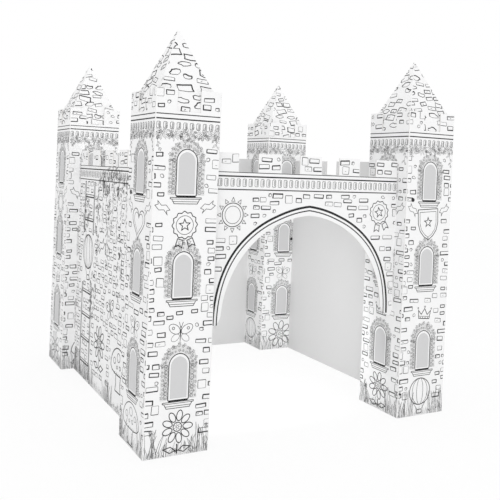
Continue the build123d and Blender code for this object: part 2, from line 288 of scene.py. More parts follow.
@dataclass(frozen=True)
class BoardFinish:
    """Corrugated board: a white printed liner outside, a plain grey liner inside, fluted edges."""

    kind: SheetKind
    centre: Point = ORIGIN
    white: Colour = (0.90, 0.90, 0.90)
    white_low: Colour = (0.86, 0.86, 0.865)
    grey: Colour = (0.72, 0.72, 0.72)
    grey_low: Colour = (0.70, 0.70, 0.70)
    edge: Colour = (0.80, 0.79, 0.77)
    edge_low: Colour = (0.60, 0.58, 0.55)
    roughness: float = 0.62
    specular: float = 0.25
    flute_pitch: float = 0.0065
    skin: float = 0.0004
    mottle_scale: float = 60.0
    mottle_detail: float = 5.0
    fibre_scale: float = 900.0
    fibre_detail: float = 2.0
    mottle_share: float = 0.6
    fibre_share: float = 0.4
    ripple_share: float = 0.35
    relief: float = 0.00006

    def outer_depth(self) -> float:
        """The depth value of the sheet's outer face.

        Returns:
            The depth.
        """
        if self.kind is SheetKind.TOWER:
            return CASTLE.tower / 2
        if self.kind is SheetKind.ROOF:
            return CASTLE.roof_base / 2
        return CASTLE.half_plan - CASTLE.wall_setback

    def depth(self, nodes: NodeTree, x: Socket, y: Socket, z: Socket) -> Socket:
        """Builds the value that is largest on the sheet's outer face and less inside it.

        Args:
            nodes: The board's nodes.
            x: The place along X.
            y: The place along Y.
            z: The level.

        Returns:
            The depth's socket.
        """
        if self.kind is SheetKind.WALL_X:
            return nodes.math("ABSOLUTE", x)
        if self.kind is SheetKind.WALL_Y:
            return nodes.math("ABSOLUTE", y)
        across = nodes.math("ABSOLUTE", nodes.math("SUBTRACT", x, self.centre[0]))
        along = nodes.math("ABSOLUTE", nodes.math("SUBTRACT", y, self.centre[1]))
        square = nodes.math("MAXIMUM", across, along)
        if self.kind is SheetKind.TOWER:
            return square
        slope = (CASTLE.roof_base / 2 - CASTLE.board / 2) / (CASTLE.roof_apex - CASTLE.roof_foot)
        rise = nodes.math("MAXIMUM", nodes.math("SUBTRACT", z, CASTLE.roof_foot), 0.0)
        return nodes.math("ADD", square, nodes.math("MULTIPLY", rise, slope))

    def make(self, name: str) -> bpy.types.Material:
        """Builds the board's material.

        Args:
            name: The material's name.

        Returns:
            The material.
        """
        nodes = MaterialTree(name)
        split = nodes.add("ShaderNodeSeparateXYZ")
        nodes.join(nodes.coordinates, split.inputs[0])
        x, y, z = split.outputs
        depth = self.depth(nodes, x, y, z)
        outer = self.outer_depth()
        mottle = nodes.noise(self.mottle_scale, self.mottle_detail)
        fibre = nodes.noise(self.fibre_scale, self.fibre_detail)
        cloud = nodes.sum_of(mottle, self.mottle_share, fibre, self.fibre_share)
        outside = nodes.blend(cloud, self.white, self.white_low)
        inside = nodes.blend(cloud, self.grey, self.grey_low)
        is_outside = nodes.math("GREATER_THAN", depth, outer - CASTLE.board / 2)
        colour = nodes.blend(is_outside, inside, outside)
        run = nodes.math("ADD", x, y)
        wave = nodes.math("SINE", nodes.math("MULTIPLY", run, 2 * math.pi / self.flute_pitch))
        ripple = nodes.math("MULTIPLY_ADD", wave, 0.5, 0.5)
        if self.kind is not SheetKind.ROOF:
            flutes = nodes.blend(ripple, self.edge, self.edge_low)
            under_skin = nodes.math("LESS_THAN", depth, outer - self.skin)
            over_liner = nodes.math("GREATER_THAN", depth, outer - CASTLE.board + self.skin)
            colour = nodes.blend(nodes.math("MULTIPLY", under_skin, over_liner), colour, flutes)
        nodes.dress(colour, self.roughness, self.specular)
        nodes.bump(nodes.sum_of(ripple, self.ripple_share, fibre, self.fibre_share), self.relief)
        return nodes.material


@dataclass(frozen=True)
class PrintFinish:
    """Printing ink on the liner: one tone, a little uneven as ink on board is."""

    tone: Colour
    tone_thin: Colour
    roughness: float = 0.6
    specular: float = 0.2
    grain_scale: float = 420.0
    grain_detail: float = 3.0

    def make(self, name: str) -> bpy.types.Material:
        """Builds the ink's material.

        Args:
            name: The material's name.

        Returns:
            The material.
        """
        nodes = MaterialTree(name)
        body = nodes.noise(self.grain_scale, self.grain_detail)
        nodes.dress(nodes.blend(body, self.tone, self.tone_thin), self.roughness, self.specular)
        return nodes.material


@dataclass(frozen=True)
class RivetFinish:
    """Black moulded plastic with a fine grain."""

    tone: Colour = (0.006, 0.006, 0.007)
    tone_worn: Colour = (0.016, 0.016, 0.017)
    roughness: float = 0.42
    grain_scale: float = 1500.0
    grain_detail: float = 2.0
    relief: float = 0.00005

    def make(self, name: str) -> bpy.types.Material:
        """Builds the plastic's material.

        Args:
            name: The material's name.

        Returns:
            The material.
        """
        nodes = MaterialTree(name)
        grain = nodes.noise(self.grain_scale, self.grain_detail)
        nodes.dress(nodes.blend(grain, self.tone, self.tone_worn), self.roughness)
        nodes.bump(grain, self.relief)
        return nodes.material


INK = PrintFinish(tone=(0.012, 0.012, 0.013), tone_thin=(0.035, 0.035, 0.036), roughness=0.55)
SOFT_INK = PrintFinish(tone=(0.10, 0.10, 0.102), tone_thin=(0.15, 0.15, 0.152))
GROUND_GREY = PrintFinish(tone=(0.68, 0.68, 0.682), tone_thin=(0.74, 0.74, 0.742))
PANE_GREY = PrintFinish(tone=(0.60, 0.60, 0.605), tone_thin=(0.63, 0.63, 0.635))


# Marks, and the outlines that they are cut from


@dataclass(frozen=True)
class Mark:
    """A flat printed mark: its points, across and up, and the faces between them."""

    points: np.ndarray
    faces: tuple[tuple[int, ...], ...]

    @property
    def low(self) -> np.ndarray:
        """The lowest corner of the mark's box."""
        return self.points.min(axis=0)

    @property
    def high(self) -> np.ndarray:
        """The highest corner of the mark's box."""
        return self.points.max(axis=0)

    @property
    def size(self) -> np.ndarray:
        """The mark's width and height."""
        return self.high - self.low

    def placed(self, at: Point = ORIGIN, turn: float = 0.0, scale: float = 1.0, flip: bool = False) -> "Mark":
        """Moves a copy of the mark.

        Args:
            at: Where the mark's own origin goes.
            turn: Angle in radians, anticlockwise.
            scale: Size factor.
            flip: Whether the copy is mirrored left to right first.

        Returns:
            The placed copy.
        """
        points = self.points * (-scale if flip else scale, scale)
        cos, sin = math.cos(turn), math.sin(turn)
        points = points @ np.array(((cos, sin), (-sin, cos))) + at
        faces = tuple(face[::-1] for face in self.faces) if flip else self.faces
        return Mark(points, faces)


def deselect_all() -> None:
    """Leaves nothing selected, so that an operator acts on its own piece alone."""
    if bpy.context.object and bpy.context.object.mode != "OBJECT":
        bpy.ops.object.mode_set(mode="OBJECT")
    bpy.ops.object.select_all(action="DESELECT")


def disc_of(points: Outline) -> bpy.types.Object:
    """Adds a filled disc and shapes its rim to an anticlockwise outline.

    Args:
        points: The outline.

    Returns:
        The disc.
    """
    deselect_all()
    bpy.ops.mesh.primitive_circle_add(vertices=len(points), radius=1, fill_type="NGON")
    disc = bpy.context.object
    for vertex, (across, up) in zip(disc.data.vertices, points):
        vertex.co = (across, up, 0)
    return disc


def taken_off(piece: bpy.types.Object) -> Mark:
    """Reads a modelled piece as a mark, with every face anticlockwise, and removes the piece.

    Args:
        piece: The modelled piece, which lies flat.

    Returns:
        The mark.
    """
    points = np.array([vertex.co[:2] for vertex in piece.data.vertices])
    faces = []
    for polygon in piece.data.polygons:
        corners = points[list(polygon.vertices)]
        following = np.roll(corners, -1, axis=0)
        area = np.sum(corners[:, 0] * following[:, 1] - corners[:, 1] * following[:, 0])
        faces.append(tuple(polygon.vertices) if area > 0 else tuple(polygon.vertices)[::-1])
    mesh = piece.data
    bpy.data.objects.remove(piece)
    bpy.data.meshes.remove(mesh)
    return Mark(points, tuple(faces))


def field_mark(points: Outline) -> Mark:
    """A filled field of ink with the given outline."""
    return taken_off(disc_of(points))


def outline_mark(points: Outline, line: float, heavy: Point = ORIGIN) -> Mark:
    """A closed line of ink along an outline.

    Args:
        points: The outline's outer edge, anticlockwise.
        line: The line's width.
        heavy: How far the inner edge is pushed, so that the far side gets heavier.

    Returns:
        The line as a mark.
    """
    disc = disc_of(points)
    bpy.ops.object.mode_set(mode="EDIT")
    bpy.ops.mesh.select_all(action="SELECT")
    bpy.ops.mesh.inset(thickness=line, use_even_offset=True)
    if heavy != ORIGIN:
        bpy.ops.transform.translate(value=(*heavy, 0))
    bpy.ops.mesh.delete(type="FACE")
    bpy.ops.object.mode_set(mode="OBJECT")
    return taken_off(disc)


def stroke_mark(points: Outline, widths: list[float]) -> Mark:
    """An open stroke of ink that follows points, with its own width at each.

    Args:
        points: The stroke's middle line.
        widths: The stroke's width at each point.

    Returns:
        The stroke as a mark.
    """
    line = np.array(points)
    run = np.gradient(line, axis=0)
    run /= np.linalg.norm(run, axis=1)[:, None]
    side = np.stack((-run[:, 1], run[:, 0]), axis=1) * (np.array(widths) / 2)[:, None]
    count = len(points)
    faces = tuple((i, i + 1, count + i + 1, count + i) for i in range(count - 1))
    return Mark(np.concatenate((line - side, line + side)), faces)


def even_stroke(points: Outline, width: float) -> Mark:
    """An open stroke of one width."""
    return stroke_mark(points, [width] * len(points))


def group_of(*marks: Mark) -> Mark:
    """Joins several marks into one.

    Args:
        marks: The marks to join.

    Returns:
        One mark that holds them all.
    """
    faces = []
    start = 0
    for mark in marks:
        faces += [tuple(index + start for index in face) for face in mark.faces]
        start += len(mark.points)
    return Mark(np.concatenate([mark.points for mark in marks]), tuple(faces))


def ring_of(mark: Mark, count: int, step: int, start: int = 0) -> list[Mark]:
    """Copies of a mark, turned round the origin by equal steps in degrees."""
    return [mark.placed(turn=math.radians(start + step * number)) for number in range(count)]


def scaled(reach: float, *points: Point) -> Outline:
    """Points that are given for a reach of 1, at their real size."""
    return [(reach * x, reach * y) for x, y in points]


def mirrored(points: Outline) -> Outline:
    """Points mirrored left to right, in the opposite order, so that an outline goes on."""
    return [(-x, y) for x, y in reversed(points)]


def arc_points(centre: Point, radius: float, start: float, end: float, steps: int) -> Outline:
    """Points along a circle's arc, between two angles in degrees."""
    angles = np.radians(np.linspace(start, end, steps + 1))
    return [(centre[0] + radius * math.cos(a), centre[1] + radius * math.sin(a)) for a in angles]


def disc_points(radius: float, steps: int) -> Outline:
    """Points round a whole circle."""
    return arc_points(ORIGIN, radius, 0, 360 - 360 / steps, steps - 1)


def oval_points(halves: Point, step: int, start: int = 0, end: int = 360, across: float = 0.0) -> Outline:
    """Points along an oval.

    Args:
        halves: Half its width and half its height.
        step: The angle from each point to the next, in degrees.
        start: The first point's angle.
        end: The angle before which the points stop.
        across: How far to the right its centre lies.

    Returns:
        The points.
    """
    angles = np.radians(np.arange(start, end, step))
    return [(halves[0] * math.cos(a) + across, halves[1] * math.sin(a)) for a in angles]


def box_points(width: float, height: float, rounding: float, steps: int) -> Outline:
    """Points round a box with rounded corners, its centre at the origin.

    Args:
        width: The box's width.
        height: Its height.
        rounding: The radius of its corners.
        steps: How many steps each corner has.

    Returns:
        The points, anticlockwise.
    """
    x, y = width / 2 - rounding, height / 2 - rounding
    points: Outline = []
    for centre, start in (((x, y), 0), ((-x, y), 90), ((-x, -y), 180), ((x, -y), 270)):
        points += arc_points(centre, rounding, start, start + 90, steps)
    return points


def gothic_points(half_width: float, offset: float, spring: float, steps: int) -> Outline:
    """The two arcs of a slightly pointed arch, from its right spring over the point to its left spring.

    Args:
        half_width: Half the arch's width.
        offset: How far each arc's centre lies beyond the middle.
        spring: The level where the arcs start.
        steps: How many steps each arc has.

    Returns:
        The points, from right to left.
    """
    radius = half_width + offset
    peak = math.degrees(math.acos(offset / radius))
    right = arc_points((-offset, spring), radius, 0, peak, steps)
    return right + mirrored(right[:-1])


def star_points(outer: float, inner: float) -> Outline:
    """Points round a star with five spikes.

    Args:
        outer: How far the spikes reach.
        inner: How far the notches reach.

    Returns:
        The points.
    """
    points: Outline = []
    for index in range(10):
        angle = math.radians(90.0 + 180 * index / 5)
        radius = outer if index % 2 == 0 else inner
        points.append((radius * math.cos(angle), radius * math.sin(angle)))
    return points


def heart_points(width: float, steps: int) -> Outline:
    """Points round a heart, its centre near the origin.

    Args:
        width: The heart's width.
        steps: How many points it has.

    Returns:
        The points.
    """
    points: Outline = []
    for index in range(steps):
        t = 2 * math.pi * (index + 0.5) / steps
        x = 16 * math.sin(t) ** 3
        y = 13 * math.cos(t) - 5 * math.cos(2 * t) - 2 * math.cos(3 * t) - math.cos(4 * t)
        points.append((-x * width / 32, y * width / 32))
    return points


def shield_points(width: float, height: float) -> Outline:
    """Points round a shield with a flat top and a pointed foot.

    Args:
        width: The shield's width.
        height: Its height.

    Returns:
        The points.
    """
    half, top = width / 2, height / 2
    left = [(-half, top), (-half, 0.05 * height)]
    left += [(-0.82 * half, -0.2 * height), (-0.45 * half, -0.38 * height)]
    return [*left, (0.0, -top), *mirrored(left)]


# The flat panels of the folded sheets


@dataclass(frozen=True)
class Panel:
    """One flat face of a folded sheet, and the convex regions of it that are board."""

    corner: Vector
    across: Vector
    up: Vector
    start: float
    regions: tuple[Outline, ...]

    def in_space(self, points: np.ndarray, lift: float) -> np.ndarray:
        """Puts points of the unfolded sheet on this face, a little proud of it.

        Args:
            points: Points across and up the unfolded sheet.
            lift: Height over the board.

        Returns:
            The points in the castle's frame.
        """
        across, up = np.array(self.across), np.array(self.up)
        base = np.array(self.corner + self.across.cross(self.up) * lift)
        return base + (points[:, :1] - self.start) * across + points[:, 1:] * up


def box_region(left: float, low: float, right: float, high: float) -> Outline:
    """A rectangular region, anticlockwise."""
    return [(left, low), (right, low), (right, high), (left, high)]


def reach_over(points: np.ndarray, region: Outline) -> np.ndarray:
    """How far each point lies inside each edge of a convex region, one row for each edge.

    Args:
        points: Points on the unfolded sheet.
        region: The region's outline, convex and anticlockwise.

    Returns:
        The depths, which are negative outside.
    """
    corners = np.array(region)
    run = np.roll(corners, -1, axis=0) - corners
    run /= np.linalg.norm(run, axis=1)[:, None]
    offset = points[None, :, :] - corners[:, None, :]
    return run[:, :1] * offset[:, :, 1] - run[:, 1:] * offset[:, :, 0]


def cut_face(face: Outline, region: Outline) -> Outline:
    """Cuts a convex face back to a convex region, edge by edge.

    Args:
        face: The face's corners.
        region: The region's outline, convex and anticlockwise.

    Returns:
        The corners that are left, or none.
    """
    for start, end in zip(region, region[1:] + region[:1]):
        kept: Outline = []
        run = (end[0] - start[0], end[1] - start[1])
        depth = [run[0] * (y - start[1]) - run[1] * (x - start[0]) for x, y in face]
        for index, (x, y) in enumerate(face):
            after = (index + 1) % len(face)
            if depth[index] >= 0:
                kept.append((x, y))
            if depth[index] * depth[after] < 0:
                share = depth[index] / (depth[index] - depth[after])
                kept.append((x + share * (face[after][0] - x), y + share * (face[after][1] - y)))
        face = kept
        if len(face) < 3:
            return []
    return face


def cut_mark(mark: Mark, region: Outline) -> Mark | None:
    """Cuts a mark back to a region of a panel.

    Args:
        mark: The mark on the unfolded sheet.
        region: The region's outline, convex and anticlockwise.

    Returns:
        What is left of the mark, or None.
    """
    reach = reach_over(mark.points, region)
    if (reach >= 0).all():
        return mark
    if (reach < 0).all(axis=1).any():
        return None
    points: Outline = []
    faces = []
    for face in mark.faces:
        kept = cut_face([tuple(mark.points[index]) for index in face], region)
        if kept:
            faces.append(tuple(range(len(points), len(points) + len(kept))))
            points += kept
    return Mark(np.array(points), tuple(faces)) if faces else None


class Kind(Enum):
    """What a mark is part of. Each kind on a sheet becomes a piece of its own."""

    PANE = "window_panes"
    GROUND = "pale_grounds"
    WINDOW = "window_frames"
    BAND = "bands"
    IVY = "ivy"
    MOTIF = "motifs"
    GRASS = "grass"
    STONE = "stones"


@dataclass
class Sheet:
    """The print of one folded sheet: its panels, its marks and the places already taken."""

    name: str
    panels: list[Panel]
    pane_lift: float = 0.00012
    ink_lift: float = 0.00025
    figure_gap: float = 0.003
    weld: float = 0.000002
    marks: dict[Kind, list[Mark]] = field(default_factory=lambda: {kind: [] for kind in Kind})
    taken: list[tuple[float, float, float, float]] = field(default_factory=list)

    def lay(
        self,
        kind: Kind,
        mark: Mark,
        at: Point = ORIGIN,
        turn: float = 0.0,
        scale: float = 1.0,
        flip: bool = False,
    ) -> None:
        """Lays a copy of a mark on the sheet."""
        self.marks[kind].append(mark.placed(at, turn, scale, flip))

    def place(self, figure: Mark, at: Point, turn: float = 0.0, flip: bool = False) -> None:
        """Lays a figure and keeps stones off it.

        Args:
            figure: The figure's mark.
            at: Where its origin goes.
            turn: Angle in radians, anticlockwise.
            flip: Whether it is mirrored left to right first.
        """
        placed = figure.placed(at, turn, 1.0, flip)
        self.lay(Kind.MOTIF, placed)
        self.take(*(placed.low - self.figure_gap), *(placed.high + self.figure_gap))

    def take(self, left: float, low: float, right: float, high: float) -> None:
        """Keeps stones off a box of the sheet."""
        self.taken.append((left, low, right, high))

    def is_free(self, left: float, low: float, right: float, high: float) -> bool:
        """Whether a box of the sheet touches no place that is taken."""
        return not any(left < t[2] and right > t[0] and low < t[3] and high > t[1] for t in self.taken)

    def press(self, inks: dict[Kind, bpy.types.Material]) -> None:
        """Makes one piece of each kind of mark on the sheet, with the kind's ink.

        Args:
            inks: The ink of each kind of mark.
        """
        for kind in Kind:
            lift = self.pane_lift if kind in (Kind.PANE, Kind.GROUND) else self.ink_lift
            self.press_kind(kind, lift, inks[kind])

    def press_kind(self, kind: Kind, lift: float, ink: bpy.types.Material) -> None:
        """Folds one kind's marks round the panels and makes them a piece.

        Args:
            kind: The kind of mark.
            lift: Its height over the board.
            ink: Its ink.
        """
        points, faces, start = [], [], 0
        for panel in self.panels:
            for region in panel.regions:
                for mark in self.marks[kind]:
                    kept = cut_mark(mark, region)
                    if kept is None:
                        continue
                    points.append(panel.in_space(kept.points, lift))
                    faces += [tuple(index + start for index in face) for face in kept.faces]
                    start += len(kept.points)
        if not faces:
            return
        mesh = bpy.data.meshes.new(f"{kind.value}_{self.name}")
        mesh.from_pydata(np.concatenate(points).tolist(), [], faces)
        mesh.materials.append(ink)
        piece = bpy.data.objects.new(mesh.name, mesh)
        bpy.context.scene.collection.objects.link(piece)
        self.close_cuts(piece)
        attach(piece, "root")
        LOG.info("%s: %d marks, %d faces", piece.name, len(self.marks[kind]), len(mesh.polygons))

    def close_cuts(self, piece: bpy.types.Object) -> None:
        """Merges the points that a cut left double.

        Args:
            piece: The piece to clean.
        """
        deselect_all()
        piece.select_set(True)
        bpy.context.view_layer.objects.active = piece
        bpy.ops.object.mode_set(mode="EDIT")
        bpy.ops.mesh.select_all(action="SELECT")
        bpy.ops.mesh.remove_doubles(threshold=self.weld)
        bpy.ops.object.mode_set(mode="OBJECT")


# The stamps: each mark is modelled once and laid many times


@dataclass(frozen=True)
class StoneFamily:
    """A family of stones: how many are modelled, and between which bounds each size falls."""

    count: int
    widths: Span
    heights: Span
    lines: Span
    wobble: float = 0.0

    def pick(self, rng: random.Random) -> tuple[Point, float]:
        """Picks one stone's size and its line's width, which is given as shares of the pen's."""
        size = (rng.uniform(*self.widths), rng.uniform(*self.heights))
        return size, PEN * rng.uniform(*self.lines)


@dataclass
class Stamps:
    """All the marks that repeat, in their real size."""

    rng: random.Random = field(default_factory=lambda: random.Random(11))
    stone_count: int = 34
    stone_widths: tuple[float, ...] = (0.022, 0.026, 0.030, 0.034, 0.038, 0.042)
    stone_heights: Span = (0.0125, 0.0165)
    stone_lines: Span = (0.95, 1.35)
    stone_wobbles: Span = (0.0003, 0.0011)
    block_widths: Span = (0.021, 0.027)
    block_heights: Span = (0.021, 0.026)
    thin_line: float = 0.6
    corner: float = 0.0015
    bulge_share: float = 0.7
    bulge_places: Span = (0.35, 0.65)
    crack_share: float = 0.3
    crack_starts: Span = (0.1, 0.32)
    crack_level: float = 0.12
    crack_runs: Span = (0.12, 0.25)
    crack_rises: Span = (-0.1, 0.3)
    crack_line: float = 0.7
    heavy_across: float = 0.3
    heavy_up: float = 0.4
    lump_line: float = 0.9
    lump_sides: int = 10
    lump_stray: float = 9.0
    lump_dent: float = 0.6
    lump_reaches: Span = (0.86, 1.03)
    bold_family: StoneFamily = StoneFamily(18, (0.022, 0.036), (0.013, 0.017), (0.75, 1.2), 0.0008)
    pebble_family: StoneFamily = StoneFamily(8, (0.012, 0.018), (0.010, 0.013), (0.5, 0.8))
    roof_family: StoneFamily = StoneFamily(22, (0.028, 0.052), (0.017, 0.026), (1.0, 1.5), 0.0032)
    leaf_lengths: tuple[float, ...] = (0.010, 0.013, 0.016, 0.019)
    ivy_reaches: tuple[float, ...] = (0.0055, 0.0068, 0.0082)
    ivy_lobes: tuple[float, ...] = (1.0, 0.86, 0.72, 0.72, 0.86)
    ivy_notch: float = 0.5
    ivy_line: float = 0.0009
    ivy_vein: float = 0.0007
    blade_heights: tuple[float, ...] = (0.046, 0.060, 0.074, 0.088)
    blade_bends: tuple[float, ...] = (-0.014, 0.004, 0.018)
    blade_half: float = 0.0042
    blade_taper: float = 0.6
    blade_levels: tuple[float, ...] = (0.0, 0.35, 0.7)
    blade_widths: tuple[float, ...] = (0.0012, 0.0012, 0.0011, 0.0007)
    cell_width: float = 0.0115
    cell_heights: tuple[float, ...] = (0.009, 0.0115, 0.014)
    cell_dots: int = 12
    cell_line: float = 0.0010
    dot_radius: float = 0.0007
    dot_reach: float = 0.0032
    dot_rise: float = 0.35
    rounding: float = 0.003
    leaf_plumpness: float = 0.42
    fan_leaf: tuple[float, float, float] = (0.0185, 0.32, 0.0005)
    fan_gap: float = 0.0035
    dentil_size: Point = (0.0120, 0.0195)
    wall_dentil_size: Point = (0.0128, 0.0235)
    dentil_line: float = 0.0012
    shade_line: float = 0.0010
    shade_rise: float = 0.36
    shade_places: Span = (0.08, 0.24)
    petal_halves: Point = (0.0034, 0.0028)
    petal_reach: float = 0.0052
    petal_line: float = 0.0007
    flower_middle: float = 0.0024
    middle_line: float = 0.0008
    spot_radius: float = 0.0022
    stones: list[Mark] = field(init=False)
    bold_stones: list[Mark] = field(init=False)
    pebbles: list[Mark] = field(init=False)
    roof_stones: list[Mark] = field(init=False)
    leaves: list[Mark] = field(init=False)
    ivy_leaves: list[Mark] = field(init=False)
    blades: list[Mark] = field(init=False)
    cells: list[Mark] = field(init=False)
    fan: Mark = field(init=False)
    dentil: Mark = field(init=False)
    wall_dentil: Mark = field(init=False)
    flower: Mark = field(init=False)
    spot: Mark = field(init=False)

    def __post_init__(self) -> None:
        """Models every stamp."""
        rng = self.rng
        self.stones = [self.mixed_stone(number) for number in range(self.stone_count)]
        self.bold_stones, self.pebbles, self.roof_stones = [], [], []
        for _ in range(self.bold_family.count):
            self.bold_stones.append(self.stone(*self.bold_family.pick(rng), self.bold_family.wobble))
        for _ in range(self.pebble_family.count):
            self.pebbles.append(self.lump(*self.pebble_family.pick(rng)))
        for number in range(self.roof_family.count):
            size, line = self.roof_family.pick(rng)
            if number % 5 in (1, 3):
                self.roof_stones.append(self.lump(size, self.lump_line * line))
            else:
                self.roof_stones.append(self.stone(size, line, self.roof_family.wobble))
        self.leaves = [self.leaf(length, self.leaf_plumpness) for length in self.leaf_lengths]
        self.ivy_leaves = [self.ivy_leaf(reach) for reach in self.ivy_reaches]
        self.blades = [self.blade(height, bend) for height in self.blade_heights for bend in self.blade_bends]
        self.cells = [self.cell(height) for height in self.cell_heights]
        leaf = self.leaf(*self.fan_leaf).placed((0.0, self.fan_gap))
        self.fan = group_of(*ring_of(leaf, 9, 36, 36))
        self.dentil = self.dentil_block(*self.dentil_size)
        self.wall_dentil = self.dentil_block(*self.wall_dentil_size)
        petal = outline_mark(oval_points(self.petal_halves, 45, across=self.petal_reach), self.petal_line)
        middle = outline_mark(disc_points(self.flower_middle, 8), self.middle_line)
        self.flower = group_of(*ring_of(petal, 5, 72, 18), middle)
        self.spot = field_mark(disc_points(self.spot_radius, 8))

    def mixed_stone(self, number: int) -> Mark:
        """Models one of the towers' stones: mostly long and bold, now and then thin or a tall block.

        Args:
            number: The stone's place among its like.

        Returns:
            The stone's mark.
        """
        rng = self.rng
        size = (rng.choice(self.stone_widths), rng.uniform(*self.stone_heights))
        is_block = number % 7 == 0
        if is_block:
            size = (rng.uniform(*self.block_widths), rng.uniform(*self.block_heights))
        line = PEN * (self.thin_line if is_block or number % 5 == 0 else rng.uniform(*self.stone_lines))
        return self.stone(size, line, rng.uniform(*self.stone_wobbles))

    def stone(self, size: Point, line: float, wobble: float) -> Mark:
        """Models the outline of one squared stone, drawn by hand, some with a crack.

        Args:
            size: Its width and height.
            line: The line's width.
            wobble: How far its corners and sides stray.

        Returns:
            The stone's mark.
        """
        rng = self.rng
        corners = []
        for x, y in ((-1, -1), (1, -1), (1, 1), (-1, 1)):
            across = x * size[0] / 2 + rng.uniform(-wobble, wobble)
            corners.append((across, y * size[1] / 2 + rng.uniform(-wobble, wobble)))
        points: Outline = []
        for start, end in zip(corners, corners[1:] + corners[:1]):
            length = math.dist(start, end)
            side = (end[1] - start[1], start[0] - end[0])
            push = rng.uniform(-self.bulge_share, self.bulge_share) * wobble / length
            near = self.corner / length
            middle = rng.uniform(*self.bulge_places)
            for share, bulge in ((near, 0.0), (middle, push), (1 - near, 0.0)):
                x = start[0] + share * (end[0] - start[0]) + bulge * side[0]
                y = start[1] + share * (end[1] - start[1]) + bulge * side[1]
                points.append((x, y))
        across = rng.choice((-self.heavy_across, 0.0, self.heavy_across)) * line
        up = rng.choice((-self.heavy_up, 0.0, self.heavy_up)) * line
        outline = outline_mark(points, line, (across, up))
        if rng.random() < self.crack_share:
            foot = (-size[0] * rng.uniform(*self.crack_starts), -size[1] * self.crack_level)
            across = foot[0] + size[0] * rng.uniform(*self.crack_runs)
            tip = (across, foot[1] + size[1] * rng.uniform(*self.crack_rises))
            return group_of(outline, even_stroke([foot, tip], self.crack_line * line))
        return outline

    def lump(self, size: Point, line: float) -> Mark:
        """Models the outline of one rounded stone of the given size, with a dent in its rim.

        Args:
            size: Its width and height.
            line: The line's width.

        Returns:
            The stone's mark.
        """
        rng = self.rng
        dent = rng.randrange(self.lump_sides)
        points: Outline = []
        for step in range(self.lump_sides):
            stray = rng.uniform(-self.lump_stray, self.lump_stray)
            turn = math.radians(360 / self.lump_sides * step + stray)
            across, up = math.cos(turn), math.sin(turn)
            reach = (abs(across) ** 3 + abs(up) ** 3) ** (-1 / 3)
            reach *= self.lump_dent if step == dent else rng.uniform(*self.lump_reaches)
            points.append((across * reach * size[0] / 2, up * reach * size[1] / 2))
        across = rng.choice((-self.heavy_across, self.heavy_across)) * line
        return outline_mark(points, line, (across, rng.choice((-self.heavy_up, 0.0)) * line))

    @staticmethod
    def leaf(length: float, plumpness: float, line: float = 0.0008) -> Mark:
        """Models a pointed leaf with its vein, from its stalk at the origin upwards.

        Args:
            length: The leaf's length.
            plumpness: Its width's share of that.
            line: The line's width.

        Returns:
            The leaf's mark.
        """
        half = length * plumpness / 2
        right = [(half * w, length * h) for w, h in ((0.7, 0.12), (1.0, 0.38), (0.72, 0.66), (0.3, 0.88))]
        outline = outline_mark([ORIGIN, *right, (0.0, length), *mirrored(right)], line)
        return group_of(outline, even_stroke([ORIGIN, (0.0, 0.7 * length)], 0.8 * line))

    def ivy_leaf(self, reach: float) -> Mark:
        """Models a leaf with five lobes, its stalk downwards.

        Args:
            reach: How far the longest lobe reaches.

        Returns:
            The leaf's mark.
        """
        points: Outline = []
        for index, lobe in enumerate(self.ivy_lobes):
            tip = math.radians(90 + 72 * index)
            notch = math.radians(90 + 72 * index + 36)
            points.append((reach * lobe * math.cos(tip), reach * lobe * math.sin(tip)))
            inner = reach * self.ivy_notch
            points.append((inner * math.cos(notch), inner * math.sin(notch)))
        vein = even_stroke(scaled(reach, (0.0, -0.5), (0.0, 0.55)), self.ivy_vein)
        return group_of(outline_mark(points, self.ivy_line), vein)

    def blade(self, height: float, bend: float) -> Mark:
        """Models a blade of grass, drawn as two long lines that meet at its tip.

        Args:
            height: The blade's height.
            bend: How far its tip leans over.

        Returns:
            The blade's mark.
        """
        sides = []
        for half in (-self.blade_half, self.blade_half):
            line: Outline = []
            for level in self.blade_levels:
                line.append((half * (1 - level * self.blade_taper) + bend * level**2, height * level))
            sides.append(stroke_mark([*line, (bend, height)], list(self.blade_widths)))
        return group_of(*sides)

    def cell(self, height: float) -> Mark:
        """Models one small stone of a window's surround, stippled.

        Args:
            height: The small stone's height.

        Returns:
            The small stone's mark.
        """
        outline = outline_mark(box_points(self.cell_width, height, self.rounding, 2), self.cell_line)
        dot = field_mark(disc_points(self.dot_radius, 5))
        dots = []
        for _ in range(self.cell_dots):
            across = self.rng.uniform(-self.dot_reach, self.dot_reach)
            dots.append(dot.placed((across, self.rng.uniform(-self.dot_rise, self.dot_rise) * height)))
        return group_of(outline, *dots)

    def dentil_block(self, width: float, height: float) -> Mark:
        """Models one upright block of a dentil row, with its shaded side.

        Args:
            width: The block's width.
            height: Its height.

        Returns:
            The block's mark.
        """
        outline = outline_mark(box_points(width, height, self.rounding, 2), self.dentil_line)
        shade = []
        for place in self.shade_places:
            ends = [(place * width, side * self.shade_rise * height) for side in (-1, 1)]
            shade.append(even_stroke(ends, self.shade_line))
        return group_of(outline, *shade)


# Generic figures, drawn in outline


